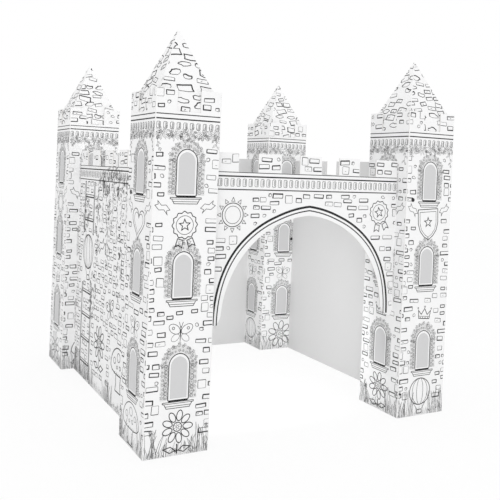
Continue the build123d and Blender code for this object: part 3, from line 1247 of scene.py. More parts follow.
@dataclass(frozen=True)
class Figures:
    """Plain figures drawn in outline. Their points are given for a reach of 1."""

    line: float = 0.0025
    thin: float = 0.0015
    cap_spots: tuple[tuple[float, float, float], ...] = (
        (0.0, 0.52, 0.2),
        (-0.5, 0.3, 0.15),
        (0.52, 0.34, 0.13),
        (0.2, 0.12, 0.1),
        (-0.16, 0.08, 0.08),
    )

    def sun(self, reach: float) -> Mark:
        """A round sun with twelve rays.

        Args:
            reach: The figure's size, from its middle outwards.

        Returns:
            The figure's mark.
        """
        ray = outline_mark(scaled(reach, (-0.13, 0.74), (0.13, 0.74), (0.0, 1.0)), self.thin)
        disc = outline_mark(disc_points(0.68 * reach, 32), self.line)
        return group_of(disc, outline_mark(disc_points(0.5 * reach, 28), self.thin), *ring_of(ray, 12, 30))

    def blossom(self, reach: float) -> Mark:
        """A round flower head with nine petals.

        Args:
            reach: The figure's size, from its middle outwards.

        Returns:
            The figure's mark.
        """
        petal = outline_mark(oval_points((0.34 * reach, 0.21 * reach), 30, across=0.66 * reach), self.line)
        seed = field_mark(disc_points(0.03 * reach, 6))
        seeds = [seed.placed(at) for radius in (0.08, 0.17) for at in disc_points(radius * reach, 7)]
        middle = outline_mark(disc_points(0.29 * reach, 24), self.line)
        return group_of(*ring_of(petal, 9, 40), middle, *seeds)

    def rosette(self, reach: float) -> Mark:
        """A pleated rosette with a star and two tails.

        Args:
            reach: The figure's size, from its middle outwards.

        Returns:
            The figure's mark.
        """
        rim = []
        for angle in np.radians(np.arange(0, 360, 7.5)):
            radius = reach * (0.76 + 0.05 * math.cos(12 * angle))
            rim.append((radius * math.cos(angle), radius * math.sin(angle)))
        outline = scaled(reach, (0.08, -0.84), (0.2, -1.3), (0.42, -1.12), (0.66, -1.22), (0.46, -0.7))
        tail = outline_mark(outline, self.line)
        star = outline_mark(star_points(0.4 * reach, 0.18 * reach), self.line)
        ring = outline_mark(disc_points(0.54 * reach, 28), self.thin)
        return group_of(outline_mark(rim, self.line), ring, star, tail, tail.placed(flip=True))

    def shield(self, reach: float) -> Mark:
        """A shield with a border and a star.

        Args:
            reach: The figure's size, from its middle outwards.

        Returns:
            The figure's mark.
        """
        border = outline_mark(shield_points(1.6 * reach, 1.9 * reach), self.line)
        inner = outline_mark(shield_points(1.3 * reach, 1.56 * reach), self.thin)
        star = outline_mark(star_points(0.36 * reach, 0.15 * reach), self.line).placed((0.0, 0.14 * reach))
        return group_of(border, inner, star)

    def heart(self, reach: float) -> Mark:
        """A heart within a heart.

        Args:
            reach: The figure's size, from its middle outwards.

        Returns:
            The figure's mark.
        """
        outer = outline_mark(heart_points(1.9 * reach, 30), self.line)
        return group_of(outer, outline_mark(heart_points(1.35 * reach, 26), self.thin))

    def butterfly(self, reach: float) -> Mark:
        """A butterfly with round spots on its wings.

        Args:
            reach: The figure's size, from its middle outwards.

        Returns:
            The figure's mark.
        """
        wing = outline_mark(oval_points((0.52 * reach, 0.34 * reach), 24), self.thin)
        ring = outline_mark(disc_points(0.12 * reach, 8), self.thin)
        half = group_of(
            wing.placed((0.5 * reach, 0.3 * reach), math.radians(32)),
            wing.placed((0.4 * reach, -0.34 * reach), math.radians(-38), 0.72),
            ring.placed((0.6 * reach, 0.36 * reach)),
            even_stroke(scaled(reach, (0.02, 0.4), (0.16, 0.82)), self.thin),
        )
        body = stroke_mark(scaled(reach, (0.0, -0.6), ORIGIN, (0.0, 0.5)), [0.0012, 0.0034, 0.0016])
        return group_of(half, half.placed(flip=True), body)

    def crown(self, reach: float) -> Mark:
        """A crown with three points and a band of jewels.

        Args:
            reach: The figure's size, from its middle outwards.

        Returns:
            The figure's mark.
        """
        left = ((0.0, 0.62), (-0.42, -0.02))
        rim = scaled(reach, (-0.9, 0.45), (-0.75, -0.55), (0.75, -0.55), (0.9, 0.45), (0.42, -0.02), *left)
        band = even_stroke(scaled(reach, (-0.76, -0.28), (0.76, -0.28)), self.thin)
        ball = outline_mark(disc_points(0.1 * reach, 10), self.thin)
        balls = [ball.placed(at) for at in scaled(reach, (-0.92, 0.57), (0.0, 0.74), (0.92, 0.57))]
        jewel = field_mark(disc_points(0.055 * reach, 6))
        jewels = [jewel.placed((reach * x, -0.41 * reach)) for x in (-0.5, -0.17, 0.17, 0.5)]
        return group_of(outline_mark(rim, self.line), band, *balls, *jewels)

    def toadstool(self, reach: float) -> Mark:
        """A toadstool with a round spotted cap on a thick stem.

        Args:
            reach: The figure's size, from its middle outwards.

        Returns:
            The figure's mark.
        """
        cap = oval_points((reach, 0.92 * reach), 10, end=181)
        cap += scaled(reach, (-0.82, -0.16), (-0.4, -0.25), (0.4, -0.25), (0.82, -0.16))
        rings = []
        for x, y, size in self.cap_spots:
            ring = outline_mark(disc_points(size * reach, 16), self.thin)
            rings.append(ring.placed((x * reach, y * reach)))
        stem = scaled(reach, (0.3, -0.27), (0.26, -0.6), (0.34, -0.92))
        left = [(-x, y) for x, y in stem]
        sides = [even_stroke(line, self.line) for line in (stem, left, [stem[-1], left[-1]])]
        gills = []
        for x in (-0.5, -0.25, 0.0, 0.25, 0.5):
            gill = [(reach * x, -0.24 * reach), (0.8 * reach * x, -0.14 * reach)]
            gills.append(even_stroke(gill, self.thin))
        return group_of(outline_mark(cap, self.line), *rings, *sides, *gills)

    def sunflower(self, reach: float) -> Mark:
        """A flower head on a stem with two leaves.

        Args:
            reach: The figure's size, from its middle outwards.

        Returns:
            The figure's mark.
        """
        leaf = outline_mark(scaled(reach, ORIGIN, (0.28, -0.1), (0.62, 0.12), (0.24, 0.2)), self.line)
        head = self.blossom(0.72 * reach).placed((0.0, 0.3 * reach))
        stem = even_stroke(scaled(reach, (0.0, -0.42), (0.02, -0.6), (0.0, -0.82)), 0.0036)
        leaves = [leaf.placed((x * reach, -0.7 * reach), flip=x < 0) for x in (0.04, -0.04)]
        return group_of(head, stem, *leaves)

    def balloon(self, reach: float) -> Mark:
        """A hot-air balloon with curved seams and a basket.

        Args:
            reach: The figure's size, from its middle outwards.

        Returns:
            The figure's mark.
        """
        skin = outline_mark(disc_points(0.72 * reach, 36), self.line)
        seams = []
        for share in (0.3, -0.3, 0.72, -0.72):
            curve = oval_points((0.72 * reach * share, 0.7 * reach), 14, -84, 85)
            seams.append(even_stroke(curve, self.thin))
        lines = []
        for x in (-1, 1):
            line = [(x * 0.4 * reach, -0.6 * reach), (x * 0.16 * reach, -0.94 * reach)]
            lines.append(even_stroke(line, self.thin))
        basket = outline_mark(box_points(0.36 * reach, 0.24 * reach, 0.04 * reach, 2), self.line)
        return group_of(skin, *seams, *lines, basket.placed((0.0, -1.06 * reach)))

    def streamer(self, reach: float) -> Mark:
        """A folded ribbon with a forked end.

        Args:
            reach: The figure's size, from its middle outwards.

        Returns:
            The figure's mark.
        """
        top = ((-0.9, -0.5), (-0.2, -0.22), (0.3, -0.52), (1.0, -0.3), (0.72, 0.0))
        foot = ((0.98, 0.34), (0.3, 0.12), (-0.16, 0.42), (-0.86, 0.16), (-0.56, -0.14))
        return outline_mark(scaled(reach, *top, *foot), self.thin)


@dataclass(frozen=True)
class Ladder:
    """A wooden ladder, its foot at the origin."""

    height: float
    line: float
    width: float = 0.115
    pitch: float = 0.088
    rail: float = 0.012
    rung: float = 0.013
    heavy: float = 0.0012
    half_gap: float = 0.007
    first_rung: float = 0.6
    top_gap: float = 0.02
    rail_rounding: float = 0.002
    rung_rounding: float = 0.001

    def levels(self) -> list[float]:
        """The levels of the rungs above the foot."""
        start, end = self.first_rung * self.pitch, self.height - self.top_gap
        return [float(level) for level in np.arange(start, end, self.pitch)]

    def mark(self) -> Mark:
        """The ladder as a mark.

        Returns:
            The ladder's mark.
        """
        rail = outline_mark(box_points(self.rail, self.height, self.rail_rounding, 1), self.line)
        rung_points = box_points(self.width - self.rail, self.rung, self.rung_rounding, 1)
        rung = outline_mark(rung_points, self.line, (0.0, self.heavy))
        rails = [rail.placed((x * self.width / 2, self.height / 2)) for x in (-1, 1)]
        return group_of(*rails, *(rung.placed((0.0, level)) for level in self.levels()))

    def lay(self, sheet: Sheet, foot: Point) -> None:
        """Lays the ladder, and keeps stones off its rails and rungs, but not off the wall between them.

        Args:
            sheet: The sheet that it is drawn on.
            foot: Where its foot stands.
        """
        sheet.lay(Kind.MOTIF, self.mark(), foot)
        gap = self.half_gap
        for side in (-1, 1):
            rail = foot[0] + side * self.width / 2
            sheet.take(rail - gap, foot[1], rail + gap, foot[1] + self.height)
        left, right = foot[0] - self.width / 2, foot[0] + self.width / 2
        for level in self.levels():
            sheet.take(left, foot[1] + level - gap, right, foot[1] + level + gap)


# What every sheet carries


@dataclass(frozen=True)
class Area:
    """A box of a sheet that stones are laid in."""

    left: float
    low: float
    right: float
    high: float
    course: float = 0.0122
    gap: float = 0.0030
    drift: float = 0.15
    rise_gap: float = 0.7


@dataclass(kw_only=True)
class SheetPrint:
    """The print of one sheet. Each kind of sheet says which panels it has and what is drawn on it."""

    turn: Turn
    stamps: Stamps
    seed: int
    edge_gap: float = 0.0012
    stem_line: float = 0.0009
    vine_step: float = 0.012
    vine_sway: float = 0.0035
    vine_turn: float = 1.1
    vine_leaf_reach: float = 0.002
    vine_leaf_turns: Span = (-1.3, -0.4)
    vine_leaf_scales: Span = (0.7, 1.0)
    stalk_bow: float = 0.002
    grass_steps: Span = (0.0044, 0.0078)
    grass_lean: float = 0.16
    short_scales: Span = (0.3, 0.5)
    tall_scales: Span = (0.75, 1.12)
    flower_stems: Span = (0.045, 0.08)
    flower_share: float = 0.1
    flower_gap: float = 0.006
    flower_scales: Span = (0.8, 1.2)
    leaf_share: float = 0.2
    leaf_top: float = 0.02
    leaf_lean: float = 1.2
    rng: random.Random = field(init=False)
    sheet: Sheet = field(init=False)

    def __post_init__(self) -> None:
        """Starts the empty sheet and the source of its choices."""
        self.rng = random.Random(self.seed)
        self.sheet = Sheet(self.name(), self.panels())

    def name(self) -> str:
        """The sheet's name."""
        raise NotImplementedError

    def panels(self) -> list[Panel]:
        """The sheet's panels."""
        raise NotImplementedError

    def stray(self, reach: float) -> float:
        """A random number between minus and plus a reach."""
        return self.rng.uniform(-reach, reach)

    def lay_stones(self, stones: list[Mark], area: Area, tries: int, lean: float = 0.05) -> None:
        """Lays single stones in loose courses, clear of each other and of what is drawn there.

        Args:
            stones: Stones to choose from.
            area: Where they lie.
            tries: How many places are tried.
            lean: How far a stone may be turned, in radians.
        """
        rise_gap = area.rise_gap * area.gap
        for _ in range(tries):
            stone = self.rng.choice(stones)
            half = stone.size / 2
            course = round(self.rng.uniform(area.low, area.high) / area.course) * area.course
            up = course + self.stray(area.drift) * area.course
            across = self.rng.uniform(area.left, area.right)
            left, low, right, high = across - half[0], up - half[1], across + half[0], up + half[1]
            if not area.low <= up <= area.high:
                continue
            if self.sheet.is_free(left - area.gap, low - rise_gap, right + area.gap, high + rise_gap):
                self.sheet.lay(Kind.STONE, stone, (across, up), self.stray(lean))
                self.sheet.take(left, low, right, high)

    def lay_ivy_leaf(self, spot: Point, turn: float, scales: Span) -> None:
        """Lays one ivy leaf, turned at random up to an angle and sized between two scales."""
        leaf = self.rng.choice(self.stamps.ivy_leaves)
        self.sheet.lay(Kind.IVY, leaf, spot, self.stray(turn), self.rng.uniform(*scales))

    def lay_vine(self, top: Point, length: float) -> None:
        """Lays a vine that hangs from a place, with leaves on both sides.

        Args:
            top: Where the vine hangs from.
            length: Its length.
        """
        rng = self.rng
        steps = max(4, round(length / self.vine_step))
        phase = rng.uniform(0, 2 * math.pi)
        line: Outline = []
        for index in range(steps + 1):
            sway = self.vine_sway * math.sin(phase + self.vine_turn * index)
            line.append((top[0] + sway, top[1] - length * index / steps))
        self.sheet.lay(Kind.IVY, even_stroke(line, self.stem_line))
        for index, spot in enumerate(line[1:]):
            side = 1 if index % 2 else -1
            leaf = rng.choice(self.stamps.leaves if rng.random() < 0.5 else self.stamps.ivy_leaves)
            turn = math.pi - side * rng.uniform(*self.vine_leaf_turns)
            place = (spot[0] + side * self.vine_leaf_reach, spot[1])
            self.sheet.lay(Kind.IVY, leaf, place, turn, rng.uniform(*self.vine_leaf_scales))

    def lay_grass(self, left: float, right: float, short_stretches: tuple[Span, ...]) -> None:
        """Lays grass along a sheet's foot, with flowers here and there.

        Args:
            left: Where the grass starts.
            right: Where it ends.
            short_stretches: Where it stays short, because a figure stands there.
        """
        rng, lay = self.rng, self.sheet.lay
        across = left
        while across < right:
            short = any(start < across < end for start, end in short_stretches)
            blade = rng.choice(self.stamps.blades)
            scale = rng.uniform(*(self.short_scales if short else self.tall_scales))
            lay(Kind.GRASS, blade, (across, 0.0), self.stray(self.grass_lean), scale, rng.random() < 0.5)
            if not short and rng.random() < self.flower_share:
                stem = rng.uniform(*self.flower_stems)
                stalk = even_stroke([ORIGIN, (self.stalk_bow, stem * 0.5), (0.0, stem)], self.stem_line)
                lay(Kind.GRASS, stalk, (across, 0.0))
                spot = (across, stem + self.flower_gap)
                turn = rng.uniform(0, 1)
                lay(Kind.GRASS, self.stamps.flower, spot, turn, rng.uniform(*self.flower_scales))
            if rng.random() < self.leaf_share:
                leaf = rng.choice(self.stamps.leaves)
                lay(Kind.GRASS, leaf, (across, rng.uniform(0.0, self.leaf_top)), self.stray(self.leaf_lean))
            across += rng.uniform(*self.grass_steps)

    def lay_lines(self, levels: tuple[float, ...], widths: tuple[float, ...], length: float) -> None:
        """Lays straight lines along the sheet."""
        for level, width in zip(levels, widths):
            self.sheet.lay(Kind.BAND, even_stroke([ORIGIN, (length, 0.0)], width), (0.0, level))

    def lay_dentils(self, dentil: Mark, count: int, pitch: float, level: float) -> None:
        """Lays a row of dentils along the sheet."""
        for index in range(count):
            self.sheet.lay(Kind.BAND, dentil, ((index + 0.5) * pitch, level))


@dataclass
class WindowPrint:
    """A printed window: a grey pane, its frame, its sill and a leafy surround."""

    pane_width: float = 0.051
    pane_height: float = 0.117
    pane_rounding: float = 0.001
    frame_width: float = 0.0655
    frame_low: float = -0.0066
    frame_high: float = 0.1268
    frame_line: float = 0.0027
    frame_rounding: float = 0.0045
    arch_offset: float = 0.0018
    arch_steps: int = 9
    bar_width: float = 0.0038
    sill_top: float = 0.0965
    sill_neck: float = 0.0865
    sill_foot: float = 0.072
    sill_high: float = -0.0088
    sill_step: float = -0.0142
    sill_low: float = -0.0282
    neck_drop: float = 0.0008
    bar_inset: float = 0.7
    sill_line: float = 0.0019
    moulding_line: float = 0.0015
    surround: float = 0.0555
    lobe: float = 0.0022
    lobe_step: float = 0.0045
    lobe_turn: float = 2.1
    ground_rise: float = 0.003
    cell_reach: float = 0.0070
    cell_gap: float = 0.0010
    cell_lean: float = 0.06
    cells_foot: float = 0.006
    cells_top: float = 0.004
    side_leaves: Span = (0.0145, 0.0200)
    side_leaf_scale: float = 0.8
    leaf_turn: float = 3.0
    head_start: float = -8.0
    head_sweep: float = 196.0
    head_turn: float = 4.0
    head_stray: float = 0.002
    head_peak: float = 0.006
    head_scales: Span = (0.75, 1.0)
    head_overlap: float = 0.004
    head_rows: tuple[tuple[float, int], ...] = ((0.0400, 13), (0.0475, 15), (0.0535, 11))
    stone_gap: float = 0.003
    half_frame: float = field(init=False)
    spring: float = field(init=False)
    pane: Mark = field(init=False)
    frame: Mark = field(init=False)
    ground: Mark = field(init=False)

    def __post_init__(self) -> None:
        """Works out where the head springs, and models the pane, the frame and the ground."""
        self.half_frame = self.frame_width / 2
        self.spring = self.frame_high - self.half_frame
        self.pane = field_mark(self.arched(self.pane_width, 0.0, self.pane_height, self.pane_rounding))
        self.frame = self.framed()
        self.ground = self.leafy_ground()

    def arched(self, width: float, low: float, high: float, rounding: float) -> Outline:
        """Points round an opening with a slightly pointed head and rounded lower corners.

        Args:
            width: The opening's width.
            low: The level of its foot.
            high: The level of its top.
            rounding: The radius of its lower corners.

        Returns:
            The points, anticlockwise.
        """
        half = width / 2
        rise = math.sqrt((half + self.arch_offset) ** 2 - self.arch_offset**2)
        foot_right = arc_points((half - rounding, low + rounding), rounding, 270, 360, 3)
        foot_left = arc_points((-half + rounding, low + rounding), rounding, 180, 270, 3)
        return foot_right + gothic_points(half, self.arch_offset, high - rise, self.arch_steps) + foot_left

    def framed(self) -> Mark:
        """The frame's line, the heavy bar below it and the moulded sill.

        Returns:
            The frame's mark.
        """
        frame_points = self.arched(self.frame_width, self.frame_low, self.frame_high, self.frame_rounding)
        half_bar = self.half_frame - self.frame_rounding * self.bar_inset
        bar = even_stroke([(-half_bar, self.frame_low), (half_bar, self.frame_low)], self.bar_width)
        half_top, half_neck, half_foot = self.sill_top / 2, self.sill_neck / 2, self.sill_foot / 2
        left = [(-half_top, self.sill_high), (-half_top, self.sill_step)]
        left += [(-half_neck, self.sill_step - self.neck_drop), (-half_foot, self.sill_low)]
        sill = outline_mark(left + mirrored(left), self.sill_line)
        mouldings = []
        for share in (0.0, 0.5):
            level = self.sill_step + share * (self.sill_low - self.sill_step)
            reach = half_neck + share * (half_foot - half_neck)
            mouldings.append(even_stroke([(-reach, level), (reach, level)], self.moulding_line))
        return group_of(outline_mark(frame_points, self.frame_line), bar, sill, *mouldings)

    def leafy_ground(self) -> Mark:
        """The pale ground of the leafy surround, lobed along its outer edge.

        Returns:
            The ground's mark.
        """
        middle = (self.half_frame + self.surround) / 2
        levels = np.arange(self.frame_low + self.ground_rise, self.spring, self.lobe_step)
        right = [(middle, level) for level in levels]
        line = right + gothic_points(middle, self.arch_offset, self.spring, self.arch_steps) + mirrored(right)
        width = self.surround - self.half_frame
        widths = [width + self.lobe * math.sin(self.lobe_turn * index) for index in range(len(line))]
        return stroke_mark(line, widths)

    def lay(self, drawn: SheetPrint, at: Point) -> None:
        """Lays the window with its surround, the middle of the pane's foot at a place.

        Args:
            drawn: The print that the window is part of.
            at: Where the pane's foot goes.
        """
        sheet, rng = drawn.sheet, drawn.rng
        sheet.lay(Kind.PANE, self.pane, at)
        sheet.lay(Kind.GROUND, self.ground, at)
        sheet.lay(Kind.WINDOW, self.frame, at)
        for side in (-1, 1):
            level = self.frame_low + self.cells_foot
            while level < self.spring - self.cells_top:
                cell = rng.choice(drawn.stamps.cells)
                middle = at[1] + level + cell.size[1] / 2
                spot = (at[0] + side * (self.half_frame + self.cell_reach), middle)
                sheet.lay(Kind.WINDOW, cell, spot, drawn.stray(self.cell_lean))
                reach = self.half_frame + rng.uniform(*self.side_leaves)
                leaf = rng.choice(drawn.stamps.ivy_leaves)
                spot = (at[0] + side * reach, middle)
                sheet.lay(Kind.IVY, leaf, spot, drawn.stray(self.leaf_turn), self.side_leaf_scale)
                level += cell.size[1] + self.cell_gap
        for row, (reach, leaves) in enumerate(self.head_rows):
            for index in range(leaves):
                turn = self.head_start + self.head_sweep * (index + 0.5) / leaves
                angle = math.radians(turn + drawn.stray(self.head_turn))
                peak = self.head_peak * max(0.0, math.sin(angle)) ** 6 * (row > 0)
                reached = reach + drawn.stray(self.head_stray) + peak
                spot = (at[0] + reached * math.cos(angle), at[1] + self.spring + reached * math.sin(angle))
                drawn.lay_ivy_leaf(spot, self.leaf_turn, self.head_scales)
        half, gap = self.surround, self.stone_gap
        high = at[1] + self.frame_high + self.surround - self.half_frame - self.head_overlap
        sheet.take(at[0] - half + gap, at[1] + self.sill_low - gap, at[0] + half - gap, high)


@dataclass(kw_only=True)
class TowerPrint(SheetPrint):
    """The print of one tower's sheet: the same bands and windows on all four faces."""

    window: WindowPrint
    upper: list[Mark]
    small: list[Mark]
    lower: list[Mark]
    streamer: Mark
    window_levels: tuple[float, ...] = (0.162, 0.447, 0.733)
    line_levels: tuple[float, ...] = (0.9398, 0.9530)
    line_widths: tuple[float, ...] = (0.0036, 0.0027)
    dentil_level: float = 0.9215
    dentils: int = 10
    ivy_level: float = 0.899
    ivy_rows: int = 3
    ivy_row_step: float = 0.0080
    ivy_in_row: int = 28
    ivy_rise: float = 0.006
    ivy_stray: float = 0.002
    ivy_turn: float = 3.0
    ivy_scales: Span = (0.8, 1.1)
    fans: int = 20
    fan_stray: float = 0.004
    fan_rises: Span = (0.002, 0.006)
    fan_turn: float = 0.2
    fan_scales: Span = (0.95, 1.15)
    spot_scales: Span = (0.6, 1.0)
    bloom_drop: float = 0.007
    bloom_scales: Span = (0.8, 1.0)
    garland_depth: float = 0.016
    band_gap: float = 0.002
    vines: tuple[Span, ...] = ((0.012, 0.04), (0.186, 0.05))
    vine_shortest: float = 0.012
    vine_drop: float = 0.004
    vine_gap: float = 0.008
    vine_end: float = 0.006
    upper_level: float = 0.6465
    upper_turn: float = 0.12
    small_level: float = 0.3445
    small_turn: float = 0.2
    lower_level: float = 0.006
    lower_stray: float = 0.006
    streamer_level: float = 0.694
    streamer_reach: float = 0.067
    streamer_stray: float = 0.005
    streamer_turns: Span = (0.4, 0.9)
    short_share: float = 0.36
    fold_gap: float = 0.0024
    field_foot: float = 0.06
    field_top: float = 0.884
    field_margin: float = 0.01
    field_gap: float = 0.0026
    merlon_foot: float = 0.966
    merlon_side_gap: float = 0.008
    merlon_top_gap: float = 0.006
    stone_tries: int = 12000
    pebble_tries: int = 1500
    merlon_tries: int = 120

    def name(self) -> str:
        """The tower sheet's name."""
        return f"tower_{TOWER_NAMES[self.turn]}"

    def panels(self) -> list[Panel]:
        """The four faces of the folded tube, with their merlons.

        Returns:
            The panels, one for each side.
        """
        centre = CASTLE.tower_centre(self.turn)
        half, width, gap = CASTLE.tower / 2, CASTLE.tower, self.edge_gap
        floor, top = CASTLE.tower_gap_floor - gap, CASTLE.tower_height - gap
        panels = []
        for side in Turn:
            start = side.value * width
            left, right = start + self.fold_gap, start + width - self.fold_gap
            corner = centre + side.outward() * half - side.rightward() * half
            regions = (
                box_region(left, gap, right, floor),
                box_region(left, floor, start + CASTLE.tower_merlon - gap, top),
                box_region(start + width - CASTLE.tower_merlon + gap, floor, right, top),
            )
            panels.append(Panel(corner, side.rightward(), UP, start, regions))
        return panels

    def draw_bands(self) -> None:
        """Draws the double line, the dentils and the garland of ivy right round the tower."""
        rng, sheet, length = self.rng, self.sheet, 4 * CASTLE.tower
        self.lay_lines(self.line_levels, self.line_widths, length)
        self.lay_dentils(self.stamps.dentil, 4 * self.dentils, CASTLE.tower / self.dentils, self.dentil_level)
        for row in range(self.ivy_rows):
            level = self.ivy_level + self.ivy_rise - self.ivy_row_step * row
            for index in range(self.ivy_in_row):
                spot = ((index + rng.random()) * length / self.ivy_in_row, level + self.stray(self.ivy_stray))
                self.lay_ivy_leaf(spot, self.ivy_turn, self.ivy_scales)
        for index in range(self.fans):
            across = (index + 0.5) * length / self.fans + self.stray(self.fan_stray)
            spot = (across, self.ivy_level + rng.uniform(*self.fan_rises))
            turn = self.stray(self.fan_turn)
            sheet.lay(Kind.IVY, self.stamps.fan, spot, turn, rng.uniform(*self.fan_scales))
            sheet.lay(Kind.MOTIF, self.stamps.spot, spot, 0.0, rng.uniform(*self.spot_scales))
            spot = (across + length / (2 * self.fans), self.ivy_level - self.bloom_drop)
            sheet.lay(Kind.IVY, self.stamps.flower, spot, rng.uniform(0, 1), rng.uniform(*self.bloom_scales))
        sheet.take(0.0, self.ivy_level - self.garland_depth, length, self.line_levels[1] + self.band_gap)

    def draw_face(self, side: Turn) -> None:
        """Draws one face's windows, vines, figures and grass.

        Args:
            side: The side that the face looks to.
        """
        rng, sheet = self.rng, self.sheet
        start = side.value * CASTLE.tower
        middle = start + CASTLE.tower / 2
        for level in self.window_levels:
            self.window.lay(self, (middle, level))
        lengths = [rng.uniform(self.vine_shortest, longest) for _, longest in self.vines]
        for (across, _), length in zip(self.vines, lengths):
            across += start
            self.lay_vine((across, self.ivy_level - self.vine_drop), length)
            low = self.ivy_level - length - self.vine_end
            sheet.take(across - self.vine_gap, low, across + self.vine_gap, self.ivy_level)
        shift = self.turn.value + side.value
        upper = self.upper[shift % len(self.upper)]
        small = self.small[(shift + side.value) % len(self.small)]
        lower = self.lower[(shift + 1) % len(self.lower)]
        sheet.place(upper, (middle, self.upper_level), self.stray(self.upper_turn))
        sheet.place(small, (middle, self.small_level), self.stray(self.small_turn))
        sheet.place(lower, (middle + self.stray(self.lower_stray), self.lower_level - lower.low[1]))
        for flip, reach in ((False, self.streamer_reach), (True, -self.streamer_reach)):
            spot = (middle + reach, self.streamer_level + self.stray(self.streamer_stray))
            sheet.place(self.streamer, spot, rng.uniform(*self.streamer_turns) * (-1 if flip else 1), flip)
        reach = self.short_share * lower.size[0]
        self.lay_grass(start, start + CASTLE.tower, ((middle - reach, middle + reach),))

    def draw(self) -> Sheet:
        """Draws the whole sheet.

        Returns:
            The drawn sheet.
        """
        self.draw_bands()
        for side in Turn:
            self.draw_face(side)
        right = 4 * CASTLE.tower + self.field_margin
        area = Area(-self.field_margin, self.field_foot, right, self.field_top, gap=self.field_gap)
        self.lay_stones(self.stamps.stones, area, self.stone_tries)
        self.lay_stones(self.stamps.pebbles, area, self.pebble_tries)
        reach, top = CASTLE.tower_merlon - self.merlon_side_gap, CASTLE.tower_height - self.merlon_top_gap
        for index in range(len(Turn) + 1):
            fold = index * CASTLE.tower
            area = Area(fold - reach, self.merlon_foot, fold + reach, top)
            self.lay_stones(self.stamps.stones + self.stamps.pebbles, area, self.merlon_tries)
        return self.sheet


@dataclass(kw_only=True)
class RoofPrint(SheetPrint):
    """The print of one roof's sheet: leaning stones on its four faces."""

    edge_gap: float = 0.0016
    skirt_shown: float = 0.0315
    skirt_half: float = 0.0352
    skirt_gap: float = 0.0003
    field_foot: float = -0.028
    course: float = 0.0130
    gap: float = 0.0004
    lean: float = 0.24
    margin: float = 0.01
    tries: int = 8000
    bold_stones: int = 6

    def name(self) -> str:
        """The roof sheet's name."""
        return f"roof_{TOWER_NAMES[self.turn]}"

    def panels(self) -> list[Panel]:
        """The four sloping faces, and the strip of each skirt that shows in the tower's gaps.

        Returns:
            The panels, two for each side.
        """
        centre = CASTLE.tower_centre(self.turn)
        base, half, tip = CASTLE.roof_base, CASTLE.roof_base / 2, CASTLE.roof_tip / 2
        rise, slant = CASTLE.roof_apex - CASTLE.roof_foot, CASTLE.roof_slant()
        panels = []
        for side in Turn:
            start = side.value * base
            corner = centre + side.outward() * half - side.rightward() * half + UP * CASTLE.roof_foot
            up = (UP * rise - side.outward() * (half - tip)).normalized()
            middle = start + half
            inset = self.edge_gap * slant / rise
            peak = (middle, slant * (half - inset) / (half - tip))
            slope = [(start + inset, 0.0), (start + base - inset, 0.0), peak]
            left, right = middle - self.skirt_half, middle + self.skirt_half
            skirt = box_region(left, -self.skirt_shown, right, -self.skirt_gap)
            panels.append(Panel(corner, side.rightward(), up, start, (slope,)))
            panels.append(Panel(corner, side.rightward(), UP, start, (skirt,)))
        return panels

    def draw(self) -> Sheet:
        """Draws the whole sheet.

        Returns:
            The drawn sheet.
        """
        length, slant = 4 * CASTLE.roof_base, CASTLE.roof_slant()
        right = length + self.margin
        area = Area(-self.margin, self.field_foot, right, slant, self.course, self.gap)
        stones = self.stamps.roof_stones + self.stamps.bold_stones[: self.bold_stones]
        self.lay_stones(stones, area, self.tries, self.lean)
        return self.sheet


